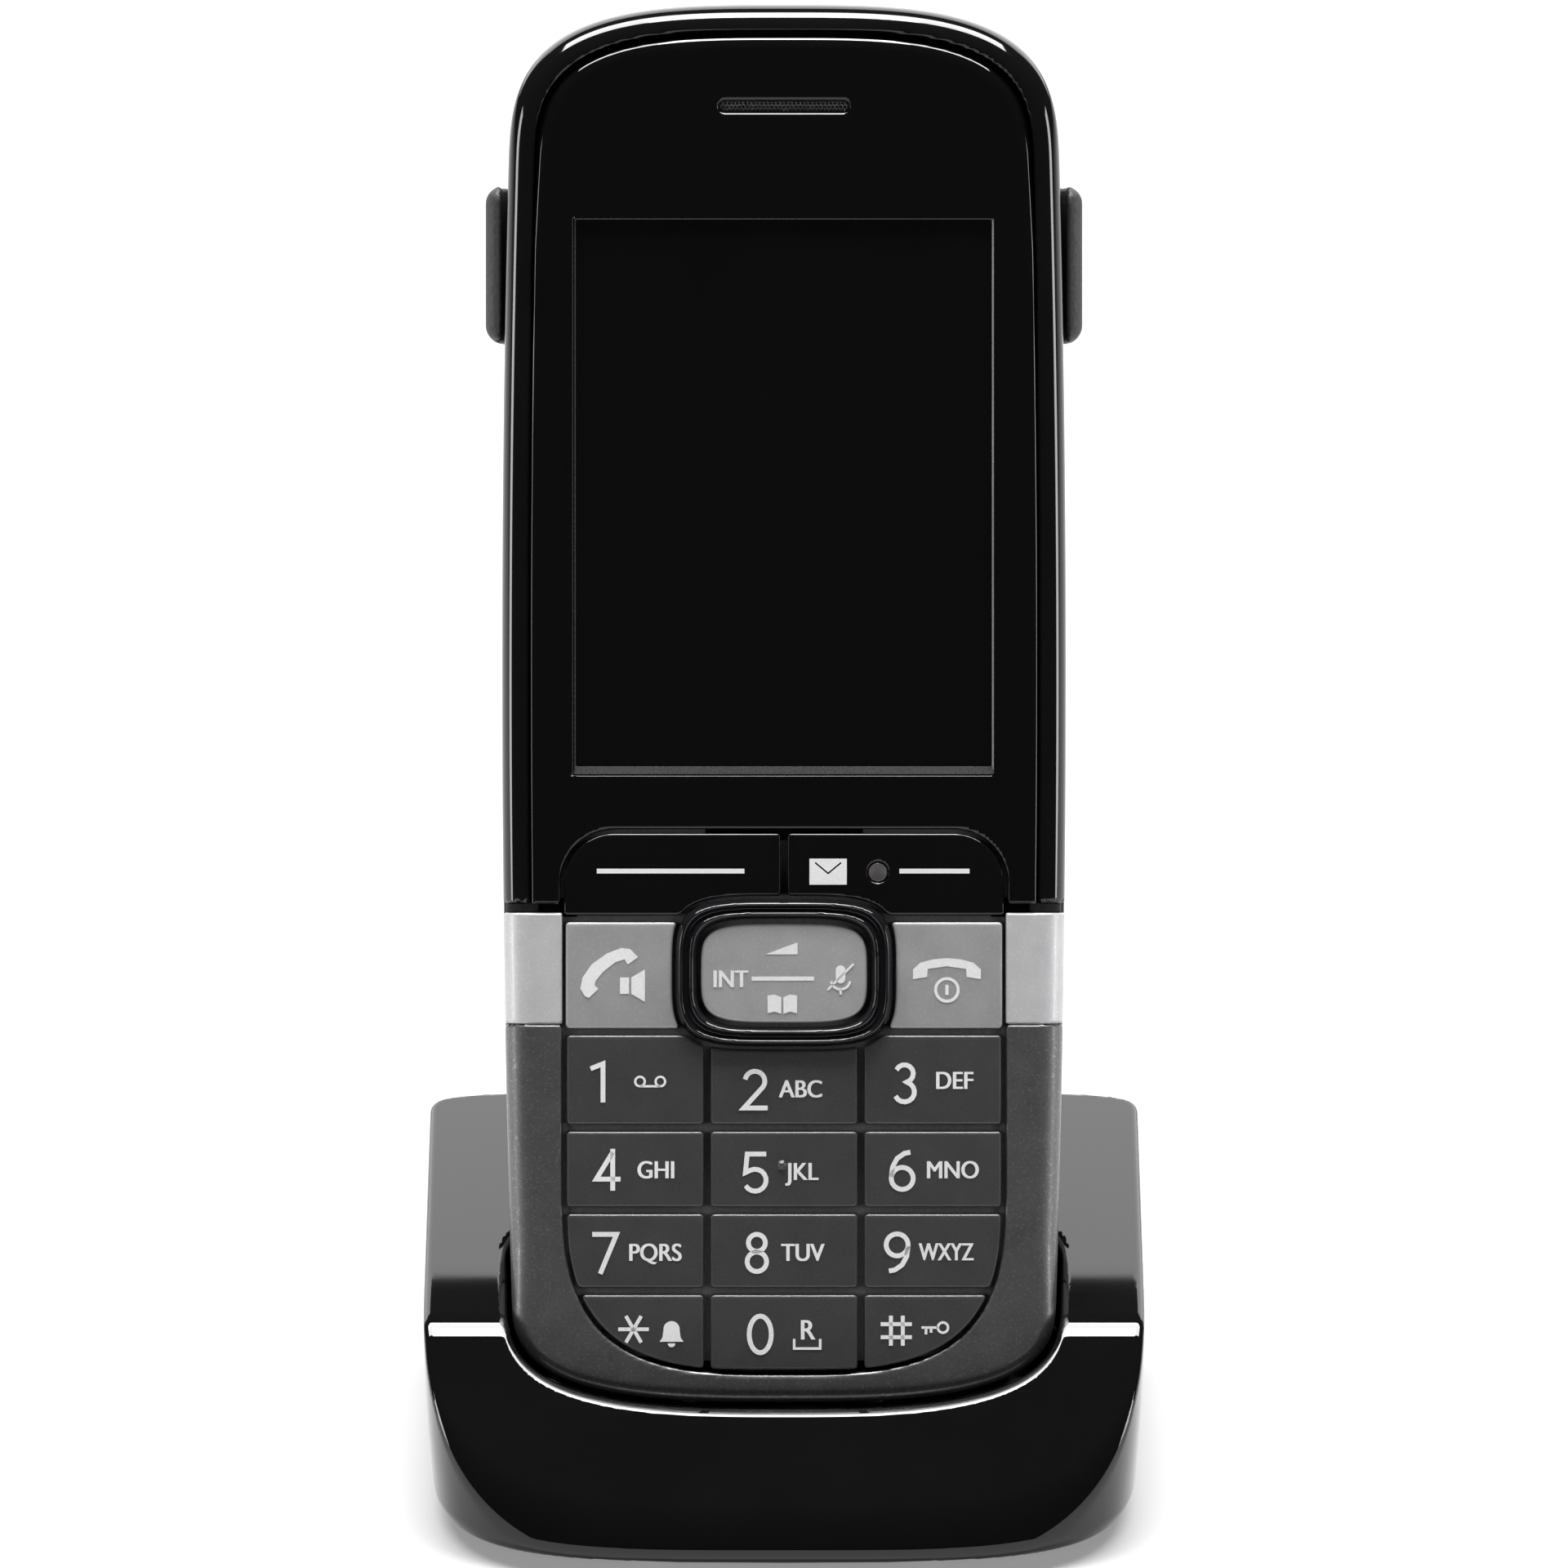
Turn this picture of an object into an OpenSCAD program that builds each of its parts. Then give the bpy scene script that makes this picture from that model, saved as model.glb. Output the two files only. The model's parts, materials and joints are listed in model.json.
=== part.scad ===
// Cordless telephone: a slim handset with a keypad and belt clip, standing in its charging cradle.
// The handset leans back in an open notch of the cradle and lifts out along its own length.

/* [Handset] */
// Length of the handset, bottom end to top end
hs_len = 123.7; // [120:0.1:128]
// Width across the handset's widest line
hs_width = 50; // [49:0.1:51]
// Thickness from the back to the front glass
hs_thick = 14.5; // [14.2:0.1:15]
// Lean of the handset from upright, in degrees
lean = 20; // [18:0.5:22]
// Radius of the long rounded edges at the back
back_round = 5.5; // [5:0.1:6]
// Radius of the rounded edge round the front
front_round = 2.6; // [2:0.1:3]

/* [Keys] */
// Half the width of the keypad opening
pad_half = 19.6; // [19.2:0.1:19.8]
// Half the width of the middle column of keys
mid_half = 6.5; // [6:0.1:7]
// Gap between one key and the next
key_gap = 0.6; // [0.5:0.05:0.8]
// Gap between the keys and the frame round them
rim_gap = 0.3; // [0.25:0.05:0.4]
// How far a key travels when it is pressed
key_travel = 0.4; // [0.3:0.05:0.4]

/* [Display] */
// Width of the viewing area
view_w = 36.8; // [35:0.1:37.5]
// Height of the viewing area
view_h = 48.4; // [46:0.1:49]

/* [Cradle] */
// Width of the cradle
cr_width = 63.9; // [63:0.1:66]
// Depth of the cradle, front to back
cr_depth = 56; // [55:0.5:58]
// Height of the cradle at its rear edge
cr_height = 24.7; // [24:0.1:26]
// Slope of the cradle's top, in degrees
wing_slope = 10; // [9:0.5:11]
// Wall thickness of the cradle shell
cr_wall = 2; // [1.8:0.1:2.2]
// Clearance beside and behind the handset in the notch
notch_gap = 0.35; // [0.3:0.05:0.4]
// Further clearance below the handset in the notch
notch_drop = 0.35; // [0.3:0.05:0.5]

/* [Belt clip] */
// Width across the clip's two arms
clip_width = 53; // [52.6:0.1:54]
// Gap behind the clip's plate that the belt goes through
belt_gap = 6; // [5.5:0.1:6.5]

/* [Hidden] */
key_names = [
    "key_1", "key_2", "key_3", "key_4", "key_5", "key_6",
    "key_7", "key_8", "key_9", "key_star", "key_0", "key_hash"];

// Outline of the handset, seen from the front: flattened ellipses above and below, a slight barrel between.
half_w = hs_width / 2;
top_round = 15;
top_power = 3.3;
low_round = 9;
low_power = 3;
barrel = 0.041;
barrel_mid = 65;
barrel_reach = 60;
notch_barrel = 0.004;

// Levels through the handset's thickness, from its back at 0.
part_line = 8;
flange_z = 11.1;
lens_seat_z = 12.8;
lens_z = 12.95;
rim_z = hs_thick - 0.1;
wall = 1.6;
lens_inset = 2.4;
skirt_inset = 3.4;
board_z = 7;
board_t = 1;

// Heights along the handset, from its bottom end.
row_y = [24.6, 17.3, 10.15, 2.8];
row_top = [32.5, 24, 16.7, 9.55];
pad_low = 2.5;
pad_round = 17.7;
pad_power = 3.2;
call_y = [33.1, 42.5];
soft_y = [43.1, 50.5];
soft_round = 3;
band_y = [33.5, 43.3];
bezel_low = 44.2;
view_y = 80.3;
ear_y = 114.6;
ear_w = 11.6;
ear_h = 1.1;

// Navigation key and the ring round it.
nav_y = 38;
nav_outer = [9.6, 6.5];
nav_inner = [7.75, 4.8];
nav_plate = [7.35, 4.4];
nav_power = 4.2;
nav_top = hs_thick + 0.7;
rock_z = [hs_thick - 2.15, hs_thick - 1.05];

// Key caps, stems and what they press on.
cap_z = flange_z + key_travel;
stem_r = 1.6;
stem_z = 9.85;
mat_z = 8.7;
mat_t = 0.7;
plate_z = 10.1;
plate_t = 0.9;
call_x = 14.6;
soft_x = 10;
side_key_spots = [
    [-call_x, 37.8], [call_x, 37.8],
    [-soft_x, 47.8], [soft_x, 47.8]];
rock_x = 4;
rock_y = 2.3;
nav_dome_spots = [[0, 0], [-rock_x, 0], [rock_x, 0], [0, -rock_y], [0, rock_y]];
key_spots = concat([for (k = [0:11]) key_centre(k)], side_key_spots);
boss_spots = [for (y = [24, 54]) for (s = [-1, 1]) [s * 17, y]];

// Battery bay in the back.
bay = [19, 20, 58];
cover_gap = 0.25;
cover_t = 1.4;

// Belt clip: arms, plate and tongue, measured along the handset.
arm_y = [93.8, 107.8];
arm_t = 1.45;
arm_z = 9.6;
clip_t = 1.9;
clip_back = 0.3;
clip_plate = [14, 79];
tongue_w = 9.5;
tongue_low = 71;
tongue_t = 1.8;
tongue_axis_y = 103.8;
tongue_axis_z = -(clip_back + clip_t + belt_gap + tongue_t / 2);

// Where the handset stands: the back edge of its bottom end, from the cradle's front edge.
foot_h = 1;
ridge_run = 41;
seat_y = 28.3;
seat_z = 5.9;
low_power_cr = 3.2;
rear_power_cr = 4.5;
front_depth = 20;
rear_depth = 4;
ridge_y = cr_depth - ridge_run;
ridge_z = cr_height - ridge_run * tan(wing_slope);
apron_slope = 40;
contact_x = 8;
contact_z = 6.3;
pin_r = 1;

// The belt clip reaches furthest back, and the origin is midway between it and the cradle's front edge.
rear_reach = seat_y + arm_y[1] * sin(lean) - (tongue_axis_z - tongue_t / 2) * cos(lean);
front_y = -rear_reach / 2;

// ---------- shared shapes ----------

function spow(v, p) = sign(v) * pow(abs(v), p);

function bulge(x, y, b) = x * (1 - b * pow((y - barrel_mid) / barrel_reach, 2));

function end_point(t, d, b) =
    let (top = t < 180, n = top ? top_power : low_power, r = top ? top_round : low_round)
    let (yc = top ? hs_len - top_round : low_round)
    let (y = yc + (r - d) * spow(sin(t), 2 / n))
    [bulge((half_w - d) * spow(cos(t), 2 / n), y, b), y];

// The handset's outline, moved inwards by d, as a closed list of points, with barrel b.
function body_outline(d, step = 9, b = barrel) =
    let (low = low_round, high = hs_len - top_round, parts = 6)
    concat(
        [for (t = [0:step:179.9]) end_point(t, d, b)],
        [for (k = [0:parts - 1]) let (y = high - k * (high - low) / parts)
            [bulge(-(half_w - d), y, b), y]],
        [for (t = [180:step:359.9]) end_point(t, d, b)],
        [for (k = [0:parts - 1]) let (y = low + k * (high - low) / parts)
            [bulge(half_w - d, y, b), y]]);

function flat_ellipse(half, n, d = 0, step = 10) =
    [for (t = [0:step:359.9]) [(half[0] - d) * spow(cos(t), 2 / n), (half[1] - d) * spow(sin(t), 2 / n)]];

function lift(points, z) = [for (p = points) [p[0], p[1], z]];

// Skins a stack of rings that have the same number of points, from the lowest to the highest.
module skin(rings) {
    n = len(rings[0]);
    last = (len(rings) - 1) * n;
    sides = [for (k = [0:len(rings) - 2]) for (i = [0:n - 1]) let (a = k * n + i, b = k * n + (i + 1) % n)
        each [[a, a + n, b + n], [a, b + n, b]]];
    polyhedron(
        points = [for (r = rings) each r],
        faces = concat([[for (i = [0:n - 1]) i]], sides, [[for (i = [n - 1:-1:0]) last + i]]));
}

// The handset's whole outer form up to height top, grown by g, with its rounded back edge.
module rounded_back(g, top, step = 9, b = barrel) {
    r = back_round + g;
    arc = [for (a = [0:18:90]) [r * (1 - sin(a)) - g, r * (1 - cos(a)) - g]];
    skin(concat(
        [for (p = arc) lift(body_outline(p[0], step, b), p[1])],
        [lift(body_outline(-g, step, b), top)]));
}

// The band of the handset in front of the parting line, with its rounded front edge.
module rounded_front() {
    arc = [for (a = [0:15:90]) [front_round * (1 - cos(a)), rim_z - front_round * (1 - sin(a))]];
    skin(concat(
        [lift(body_outline(0, 9), part_line)],
        [for (p = arc) lift(body_outline(p[0], 9), p[1])]));
}

module outline_prism(d, z0, z1) {
    translate([0, 0, z0]) linear_extrude(z1 - z0) polygon(body_outline(d));
}

module between_y(y0, y1) {
    translate([-50, y0, -20]) cube([100, y1 - y0, 60]);
}

// The keypad opening, moved inwards by d: straight sides above, one flattened half ellipse below.
module pad_prism(d, z0, z1, y_top) {
    half = pad_half - d;
    yc = pad_low + pad_round;
    low = [for (t = [180:10:360])
        [half * spow(cos(t), 2 / pad_power), yc + (pad_round - d) * spow(sin(t), 2 / pad_power)]];
    translate([0, 0, z0]) linear_extrude(z1 - z0) polygon(concat(low, [[half, y_top], [-half, y_top]]));
}

module nav_prism(half, z0, z1, d = 0) {
    translate([0, nav_y, z0]) linear_extrude(z1 - z0) polygon(flat_ellipse(half, nav_power, d));
}

// Places a shape drawn in the handset's own frame: X right, Y along it, Z out of its face.
module on_handset() {
    translate([0, front_y + seat_y, seat_z]) rotate([90 - lean, 0, 0]) children();
}

module on_cradle() {
    translate([0, front_y, 0]) children();
}

module at_each(spots, z) {
    for (p = spots) translate([p[0], p[1], z]) children();
}

module box(x, y, z) {
    translate([x[0], y[0], z[0]]) cube([x[1] - x[0], y[1] - y[0], z[1] - z[0]]);
}

// ---------- cradle ----------

function plan_outline(half, d, step = 9) =
    let (front = front_depth, rear = cr_depth - rear_depth)
    concat(
        [for (t = [0:step:179.9]) [(half - d) * spow(cos(t), 2 / rear_power_cr),
            rear + (rear_depth - d) * spow(sin(t), 2 / rear_power_cr)]],
        [for (t = [180:step:359.9]) [(half - d) * spow(cos(t), 2 / low_power_cr),
            front + (front_depth - d) * spow(sin(t), 2 / low_power_cr)]]);

// Side profile of the cradle: an upright front edge, a steep apron, a ridge, then a gently rising top.
module side_profile(d) {
    r = 5;
    start_z = ridge_z - ridge_y * tan(apron_slope);
    cut = r * tan((90 - apron_slope) / 2);
    arc = [for (a = [180:-10:90 + apron_slope]) [r + r * cos(a), start_z - cut + r * sin(a)]];
    translate([-50, 0, 0]) rotate([90, 0, 90]) linear_extrude(100) offset(delta = -d)
        polygon(concat([[0, -10]], arc, [[ridge_y, ridge_z], [cr_depth, cr_height], [cr_depth, -10]]));
}

module cradle_solid(d) {
    half = cr_width / 2;
    intersection() {
        skin([
            lift(plan_outline(half - 0.9, d), foot_h - (d > 0 ? 2 : 0)),
            lift(plan_outline(half - 0.2, d), 9),
            lift(plan_outline(half, d), 16),
            lift(plan_outline(half, d), 30)]);
        side_profile(d);
    }
}

// The straight-sided space that the handset slides into, grown by a further g.
module notch(g) {
    translate([0, seat_y, seat_z]) rotate([90 - lean, 0, 0]) translate([0, -notch_drop, 0])
        rounded_back(notch_gap + g, 40, 12, notch_barrel);
}

plate_top = foot_h + 1.4;
screw_spots = [[-12, 6.5], [12, 6.5], [-24.5, 42], [24.5, 42]];
foot_spots = [[-20, 12], [20, 12], [-20, 49], [20, 49]];

module contact_place(side) {
    translate([0, seat_y, seat_z]) rotate([90 - lean, 0, 0]) translate([side * contact_x, 0, contact_z])
        rotate([-90, 0, 0]) children();
}

module cradle_shell() {
    color("black") on_cradle() difference() {
        cradle_solid(0);
        difference() {
            cradle_solid(cr_wall);
            notch(cr_wall);
            at_each(screw_spots, 0) cylinder(r = 2.8, h = 30, $fn = 32);
        }
        translate([0, 0, -1]) linear_extrude(plate_top + 1.1)
            polygon(plan_outline(cr_width / 2 - 0.9, 1.4));
        notch(0);
        at_each(screw_spots, 0) cylinder(r = 1.25, h = 6.5, $fn = 32);
        for (side = [-1, 1]) contact_place(side) translate([0, 0, -6]) cylinder(r = 1.3, h = 7, $fn = 32);
        box([-5.2, 5.2], [cr_depth - 6, cr_depth + 1], [3.6, 11.6]);
    }
}

module cradle_base_plate() {
    color("dimgray") on_cradle() difference() {
        translate([0, 0, foot_h]) linear_extrude(plate_top - foot_h)
            polygon(plan_outline(cr_width / 2 - 0.9, 1.6));
        at_each(screw_spots, 0) cylinder(r = 1.4, h = 5, $fn = 32);
        at_each(screw_spots, 0) cylinder(r = 2.5, h = foot_h + 0.8, $fn = 32);
        at_each(foot_spots, 0) cylinder(r = 4.1, h = foot_h + 0.6, $fn = 48);
        for (x = [-24:4:24]) if (abs(x) > 2) box([x - 0.6, x + 0.6], [26, 36], [0, 5]);
    }
}

module cradle_feet() {
    color("gray") on_cradle() at_each(foot_spots, 0) cylinder(r = 4, h = foot_h + 0.6, $fn = 48);
}

module cradle_screws() {
    color("silver") on_cradle() at_each(screw_spots, foot_h + 0.1) difference() {
        union() {
            cylinder(r = 2.3, h = 0.7, $fn = 32);
            cylinder(r = 1.2, h = 5, $fn = 32);
        }
        for (a = [0, 90]) rotate([0, 0, a]) translate([-1.2, -0.25, -1]) cube([2.4, 0.5, 1.5]);
    }
}

module cradle_circuit_board() {
    color("darkgreen") on_cradle() {
        box([-10.5, 10.5], [14, 50], [2.7, 3.6]);
        box([-9, -5], [35, 39], [3.6, 5.4]);
        box([3, 8], [34.5, 37.5], [3.6, 4.8]);
    }
}

// Modular jack for a flat plug, open to the rear.
module power_socket() {
    color("ivory") on_cradle() difference() {
        union() {
            box([-5, 5], [cr_depth - 13.8, cr_depth - 0.3], [3.8, 11.4]);
            box([-6.2, 6.2], [cr_depth - 13.8, cr_depth - 6.5], [3.8, 12.2]);
        }
        box([-4, 4], [cr_depth - 12.3, cr_depth + 1], [4.9, 10.3]);
        box([-1.6, 1.6], [cr_depth - 12.3, cr_depth + 1], [10, 10.9]);
    }
}

module ballast_weights() {
    color("slategray") on_cradle() at_each([[-16.2, 45.5], [16.2, 45.5]], 2.6)
        box([-4.5, 4.5], [-5.5, 5.5], [0, 12.5]);
}

module contact_pin(side) {
    color("gold") on_cradle() contact_place(side) {
        translate([0, 0, -3.6]) cylinder(r = pin_r, h = 3.85, $fn = 32);
        translate([0, 0, -3.5]) cylinder(r = 1.7, h = 0.5, $fn = 32);
    }
}

// ---------- handset casing ----------

module rear_housing() {
    y0 = bay[1];
    y1 = bay[2];
    color("black") on_handset() difference() {
        rounded_back(0, part_line);
        difference() {
            union() {
                outline_prism(4.2, wall, 5);
                outline_prism(1.8, 4, part_line + 1);
            }
            box([-bay[0] - 1.2, bay[0] + 1.2], [y0 - 3.2, y1 + 1.2], [0, board_z - 0.1]);
        }
        box([-bay[0], bay[0]], [y0, y1], [-1, wall + 1.1]);
        box([-bay[0], bay[0]], [y0 - 2, y1], [wall, board_z - 0.9]);
        for (k = [0:3]) box([-6, 6], [61.5 + 2 * k, 62.5 + 2 * k], [-1, 3]);
        for (s = [-1, 1]) translate([s * contact_x, -2, contact_z]) rotate([-90, 0, 0])
            cylinder(r = 1.65, h = 5.5, $fn = 32);
        box([-3.9, 3.9], [-2, 4], [4.2, 7.2]);
        at_each(boss_spots, 0) cylinder(r = 1.1, h = 9, $fn = 32);
    }
}

module upper_bezel() {
    color("black") on_handset() difference() {
        rounded_front();
        between_y(-10, bezel_low);
        outline_prism(lens_inset, lens_seat_z, 20);
        outline_prism(skirt_inset, 0, 20);
    }
}

// The lower part of the front casing, between two heights, left or right of the keypad or all round it.
module lower_casing(y0, y1) {
    difference() {
        rounded_front();
        between_y(-10, y0);
        between_y(y1, 200);
        outline_prism(skirt_inset, 0, flange_z);
        pad_prism(0, 0, 20, 60);
    }
}

module keypad_frame() {
    color("dimgray") on_handset() lower_casing(-5, band_y[0]);
}

module silver_band(side) {
    color("silver") on_handset() intersection() {
        lower_casing(band_y[0], band_y[1]);
        translate([side > 0 ? 0 : -60, 0, 0]) cube([60, 100, 40]);
    }
}

// Cut-out for the two soft keys: square at the bottom, round at its two top corners.
module soft_cutout(g, z0, z1) {
    x = pad_half + g;
    y = soft_y[1] + g;
    r = soft_round + g;
    translate([0, 0, z0]) linear_extrude(z1 - z0) {
        translate([-x, 30]) square([2 * x, y - r - 30]);
        translate([-x + r, 30]) square([2 * (x - r), y - 30]);
        for (s = [-1, 1]) translate([s * (x - r), y - r]) circle(r = r, $fn = 48);
    }
}

module slot_prism(w, h, z0, z1) {
    translate([0, ear_y, z0]) linear_extrude(z1 - z0) {
        square([w - h, h], center = true);
        for (s = [-1, 1]) translate([s * (w - h) / 2, 0]) circle(d = h, $fn = 32);
    }
}

module display_window() {
    color([0.02, 0.02, 0.02]) on_handset() difference() {
        outline_prism(lens_inset + 0.12, lens_z, hs_thick);
        between_y(-10, bezel_low - 0.2);
        soft_cutout(0.2, 0, 20);
        slot_prism(ear_w, ear_h, 0, 20);
    }
}

module display_module() {
    color("darkslategray") on_handset() {
        box([-20, 20], [view_y - 26.5, view_y + 26.5], [9.4, 11.6]);
        box([-18.4, 18.4], [view_y - 24.5, view_y + 24.5], [11.6, 12]);
        box([-6, 6], [view_y - 29.5, view_y - 26.5], [9.4, 9.7]);
    }
}

// Foam and plastic surround between the display module and the window, bevelled towards the view.
module display_gasket() {
    color("dimgray") on_handset() difference() {
        box([-20, 20], [view_y - 26.5, view_y + 26.5], [12.05, lens_z - 0.05]);
        box([-view_w / 2, view_w / 2], [view_y - view_h / 2, view_y + view_h / 2], [0, 20]);
    }
}

module earpiece_mesh() {
    color("gray") on_handset() slot_prism(ear_w - 0.3, ear_h - 0.3, 13.5, 13.9);
}

module earpiece_speaker() {
    color("gray") on_handset() {
        box([-7.5, 7.5], [ear_y - 3, ear_y + 2.6], [10.6, 12.7]);
        box([-5.5, 5.5], [ear_y - 2, ear_y + 1.6], [9.6, 10.6]);
    }
}

// ---------- inside the handset ----------

// Inner frame that carries the display and guides the key stems.
module chassis() {
    color("gray") on_handset() difference() {
        union() {
            outline_prism(skirt_inset + 0.15, plate_z, plate_z + plate_t);
            difference() {
                outline_prism(skirt_inset + 0.15, part_line + 0.05, plate_z + 0.5);
                outline_prism(skirt_inset + 1.2, 0, 20);
            }
            at_each(boss_spots, part_line + 0.05) cylinder(r = 2, h = 2.4, $fn = 32);
        }
        box([-20.2, 20.2], [view_y - 26.8, view_y + 26.8], [0, 20]);
        box([-6.4, 6.4], [view_y - 30, view_y - 26], [0, 20]);
        box([-7.8, 7.8], [ear_y - 3.3, ear_y + 2.9], [0, 20]);
        at_each(key_spots, 5) cylinder(r = stem_r + 0.4, h = 15, $fn = 32);
        nav_prism([5.4, 3.4], 0, 20);
        at_each(boss_spots, 0) cylinder(r = 1.05, h = 9.6, $fn = 32);
    }
}

module key_mat() {
    color("whitesmoke") on_handset() difference() {
        union() {
            pad_prism(2.3, mat_z, mat_z + mat_t, soft_y[1] - 1);
            at_each(key_spots, mat_z - 0.25) cylinder(r = 0.8, h = 0.5, $fn = 24);
        }
        at_each(boss_spots, 0) cylinder(r = 2.3, h = 20, $fn = 32);
    }
}

module dome_switches() {
    color("lightgray") on_handset() {
        at_each(key_spots, board_z + board_t) dome(1.5);
        for (p = nav_dome_spots) translate([p[0], nav_y + p[1], board_z + board_t]) dome(1);
    }
}

module dome(r) {
    cylinder(r1 = r, r2 = 0.6 * r, h = 0.4, $fn = 32);
}

module main_board() {
    color("darkgreen") on_handset() difference() {
        union() {
            difference() {
                outline_prism(2.4, board_z, board_z + board_t);
                between_y(-10, 4.2);
                between_y(119, 200);
            }
            at_each([[-9, 84], [9, 88], [-8, 100]], board_z) box([-4, 4], [-4, 4], [-1.2, 0.1]);
            box([2, 14], [70, 80], [board_z - 2, board_z]);
        }
        at_each(boss_spots, 0) cylinder(r = 1.3, h = 20, $fn = 32);
    }
}

module loudspeaker() {
    color("black") on_handset() translate([0, 65, 2]) {
        box([-8, 8], [-3.6, 3.6], [0, 3.2]);
        translate([0, 0, 3.2]) cylinder(r = 2.8, h = 0.8, $fn = 48);
    }
}

module vibration_motor() {
    color("silver") on_handset() translate([-13, 111, 4.2]) rotate([0, 90, 0]) {
        cylinder(r = 1.9, h = 8, $fn = 48);
        translate([0, 0, 8]) cylinder(r = 0.4, h = 3.6, $fn = 24);
        translate([0, 0, 8.8]) intersection() {
            cylinder(r = 1.8, h = 2.4, $fn = 48);
            translate([-2, -2, 0]) cube([2.4, 4, 3]);
        }
    }
}

module microphone() {
    color("gold") on_handset() translate([12, 6.5, 4.4]) cylinder(r = 1.9, h = 2.4, $fn = 48);
}

module antenna() {
    color("goldenrod") on_handset() {
        box([-2, 16], [112.5, 114], [5.2, 5.5]);
        box([14.5, 16], [106, 112.5], [5.2, 5.5]);
        box([-2, -0.8], [112.5, 114], [5.5, 6.9]);
        box([14.5, 16], [106, 107.2], [5.5, 6.9]);
    }
}

module battery() {
    color("lightsteelblue") on_handset() {
        box([-14.6, 14.6], [bay[1] + 2.7, bay[2] - 1.4], [1.8, 5.7]);
        box([-7, 7], [bay[2] - 1.4, bay[2] - 1], [2.6, 5]);
    }
}

module battery_contacts() {
    color("gold") on_handset() for (x = [-4, 0, 4])
        box([x - 0.8, x + 0.8], [bay[2] - 0.95, bay[2] - 0.05], [2.8, 4.8]);
}

module charging_contacts() {
    color("gold") on_handset() for (s = [-1, 1])
        translate([s * contact_x, 0.3, contact_z]) rotate([-90, 0, 0]) cylinder(r = 1.6, h = 2.4, $fn = 32);
}

module usb_socket() {
    color("silver") on_handset() difference() {
        box([-3.7, 3.7], [0.5, 5.6], [4.4, 6.9]);
        box([-3.3, 3.3], [0, 4.8], [4.8, 6.5]);
    }
}

module housing_screws() {
    color("silver") on_handset() at_each(boss_spots, 5.3) {
        difference() {
            cylinder(r = 1.5, h = 0.8, $fn = 32);
            for (a = [0, 90]) rotate([0, 0, a]) translate([-1, -0.2, -1]) cube([2, 0.4, 1.4]);
        }
        translate([0, 0, 0.8]) cylinder(r = 1, h = 3.3, $fn = 32);
    }
}

// ---------- back: battery cover and belt clip ----------

module battery_cover() {
    x = bay[0] - cover_gap;
    y0 = bay[1] + cover_gap;
    y1 = bay[2] - cover_gap;
    color("black") on_handset() difference() {
        union() {
            box([-x, x], [y0, y1], [0, cover_t]);
            for (s = [-1, 1]) translate([s * 11, 0, 0]) {
                box([-2.5, 2.5], [y0 + 0.2, y0 + 1], [1, wall + 0.9]);
                box([-2.5, 2.5], [y0 - 1.6, y0 + 1], [wall + 0.15, wall + 0.9]);
            }
        }
        translate([0, y1 + 3.2, -1]) cylinder(r = 6, h = 1.6, $fn = 64);
    }
}

// A bar across the handset's back with two arms that grip its sides, drawn looking along the handset.
module clip_section() {
    x = clip_width / 2;
    inner = x - arm_t;
    z0 = -(clip_back + clip_t);
    r = back_round + clip_back;
    difference() {
        union() {
            translate([-x, z0 + r + 1.5]) square([2 * x, arm_z - z0 - r - 1.5]);
            translate([-x + r + 1.5, z0]) square([2 * (x - r - 1.5), arm_z - z0]);
            for (s = [-1, 1]) translate([s * (x - r - 1.5), z0 + r + 1.5]) circle(r = r + 1.5, $fn = 64);
        }
        translate([-inner, -clip_back + r]) square([2 * inner, 30]);
        translate([-inner + r, -clip_back]) square([2 * (inner - r), 30]);
        for (s = [-1, 1]) translate([s * (inner - r), -clip_back + r]) circle(r = r, $fn = 64);
    }
}

module belt_clip_frame() {
    z1 = -clip_back;
    z0 = z1 - clip_t;
    color([0.12, 0.12, 0.12]) on_handset() {
        translate([0, arm_y[1], 0]) rotate([90, 0, 0]) linear_extrude(arm_y[1] - arm_y[0]) clip_section();
        box([-clip_plate[0], clip_plate[0]], [clip_plate[1], arm_y[1]], [z0, z1]);
        box([-tongue_w, tongue_w], [arm_y[1] - 2.75, arm_y[1]], [tongue_axis_z - tongue_t / 2, z0]);
    }
}

module belt_clip_tongue() {
    r = tongue_t / 2;
    color([0.12, 0.12, 0.12]) on_handset() {
        translate([-tongue_w, tongue_axis_y, tongue_axis_z]) rotate([0, 90, 0])
            cylinder(r = r, h = 2 * tongue_w, $fn = 48);
        box([-tongue_w, tongue_w], [tongue_low + 3, tongue_axis_y], [tongue_axis_z - r, tongue_axis_z + r]);
        translate([-tongue_w + 3, tongue_low, tongue_axis_z - r]) cube([2 * tongue_w - 6, 3.1, tongue_t]);
        for (s = [-1, 1]) translate([s * (tongue_w - 3), tongue_low + 3, tongue_axis_z - r])
            cylinder(r = 3, h = tongue_t, $fn = 48);
        translate([-tongue_w + 2, tongue_low + 4, tongue_axis_z + r]) rotate([0, 90, 0])
            cylinder(r = 1.4, h = 2 * tongue_w - 4, $fn = 48);
    }
}

// ---------- keys ----------

function key_centre(k) =
    let (col = k % 3, row = floor(k / 3))
    [(col - 1) * (mid_half + pad_half) / 2 * 1.01, (row_y[row] + row_top[row]) / 2 + (row == 3 ? 0.6 : 0)];

function column(col) = col == 0
    ? [-pad_half + rim_gap, -mid_half - key_gap]
    : col == 1 ? [-mid_half, mid_half] : [mid_half + key_gap, pad_half - rim_gap];

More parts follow.
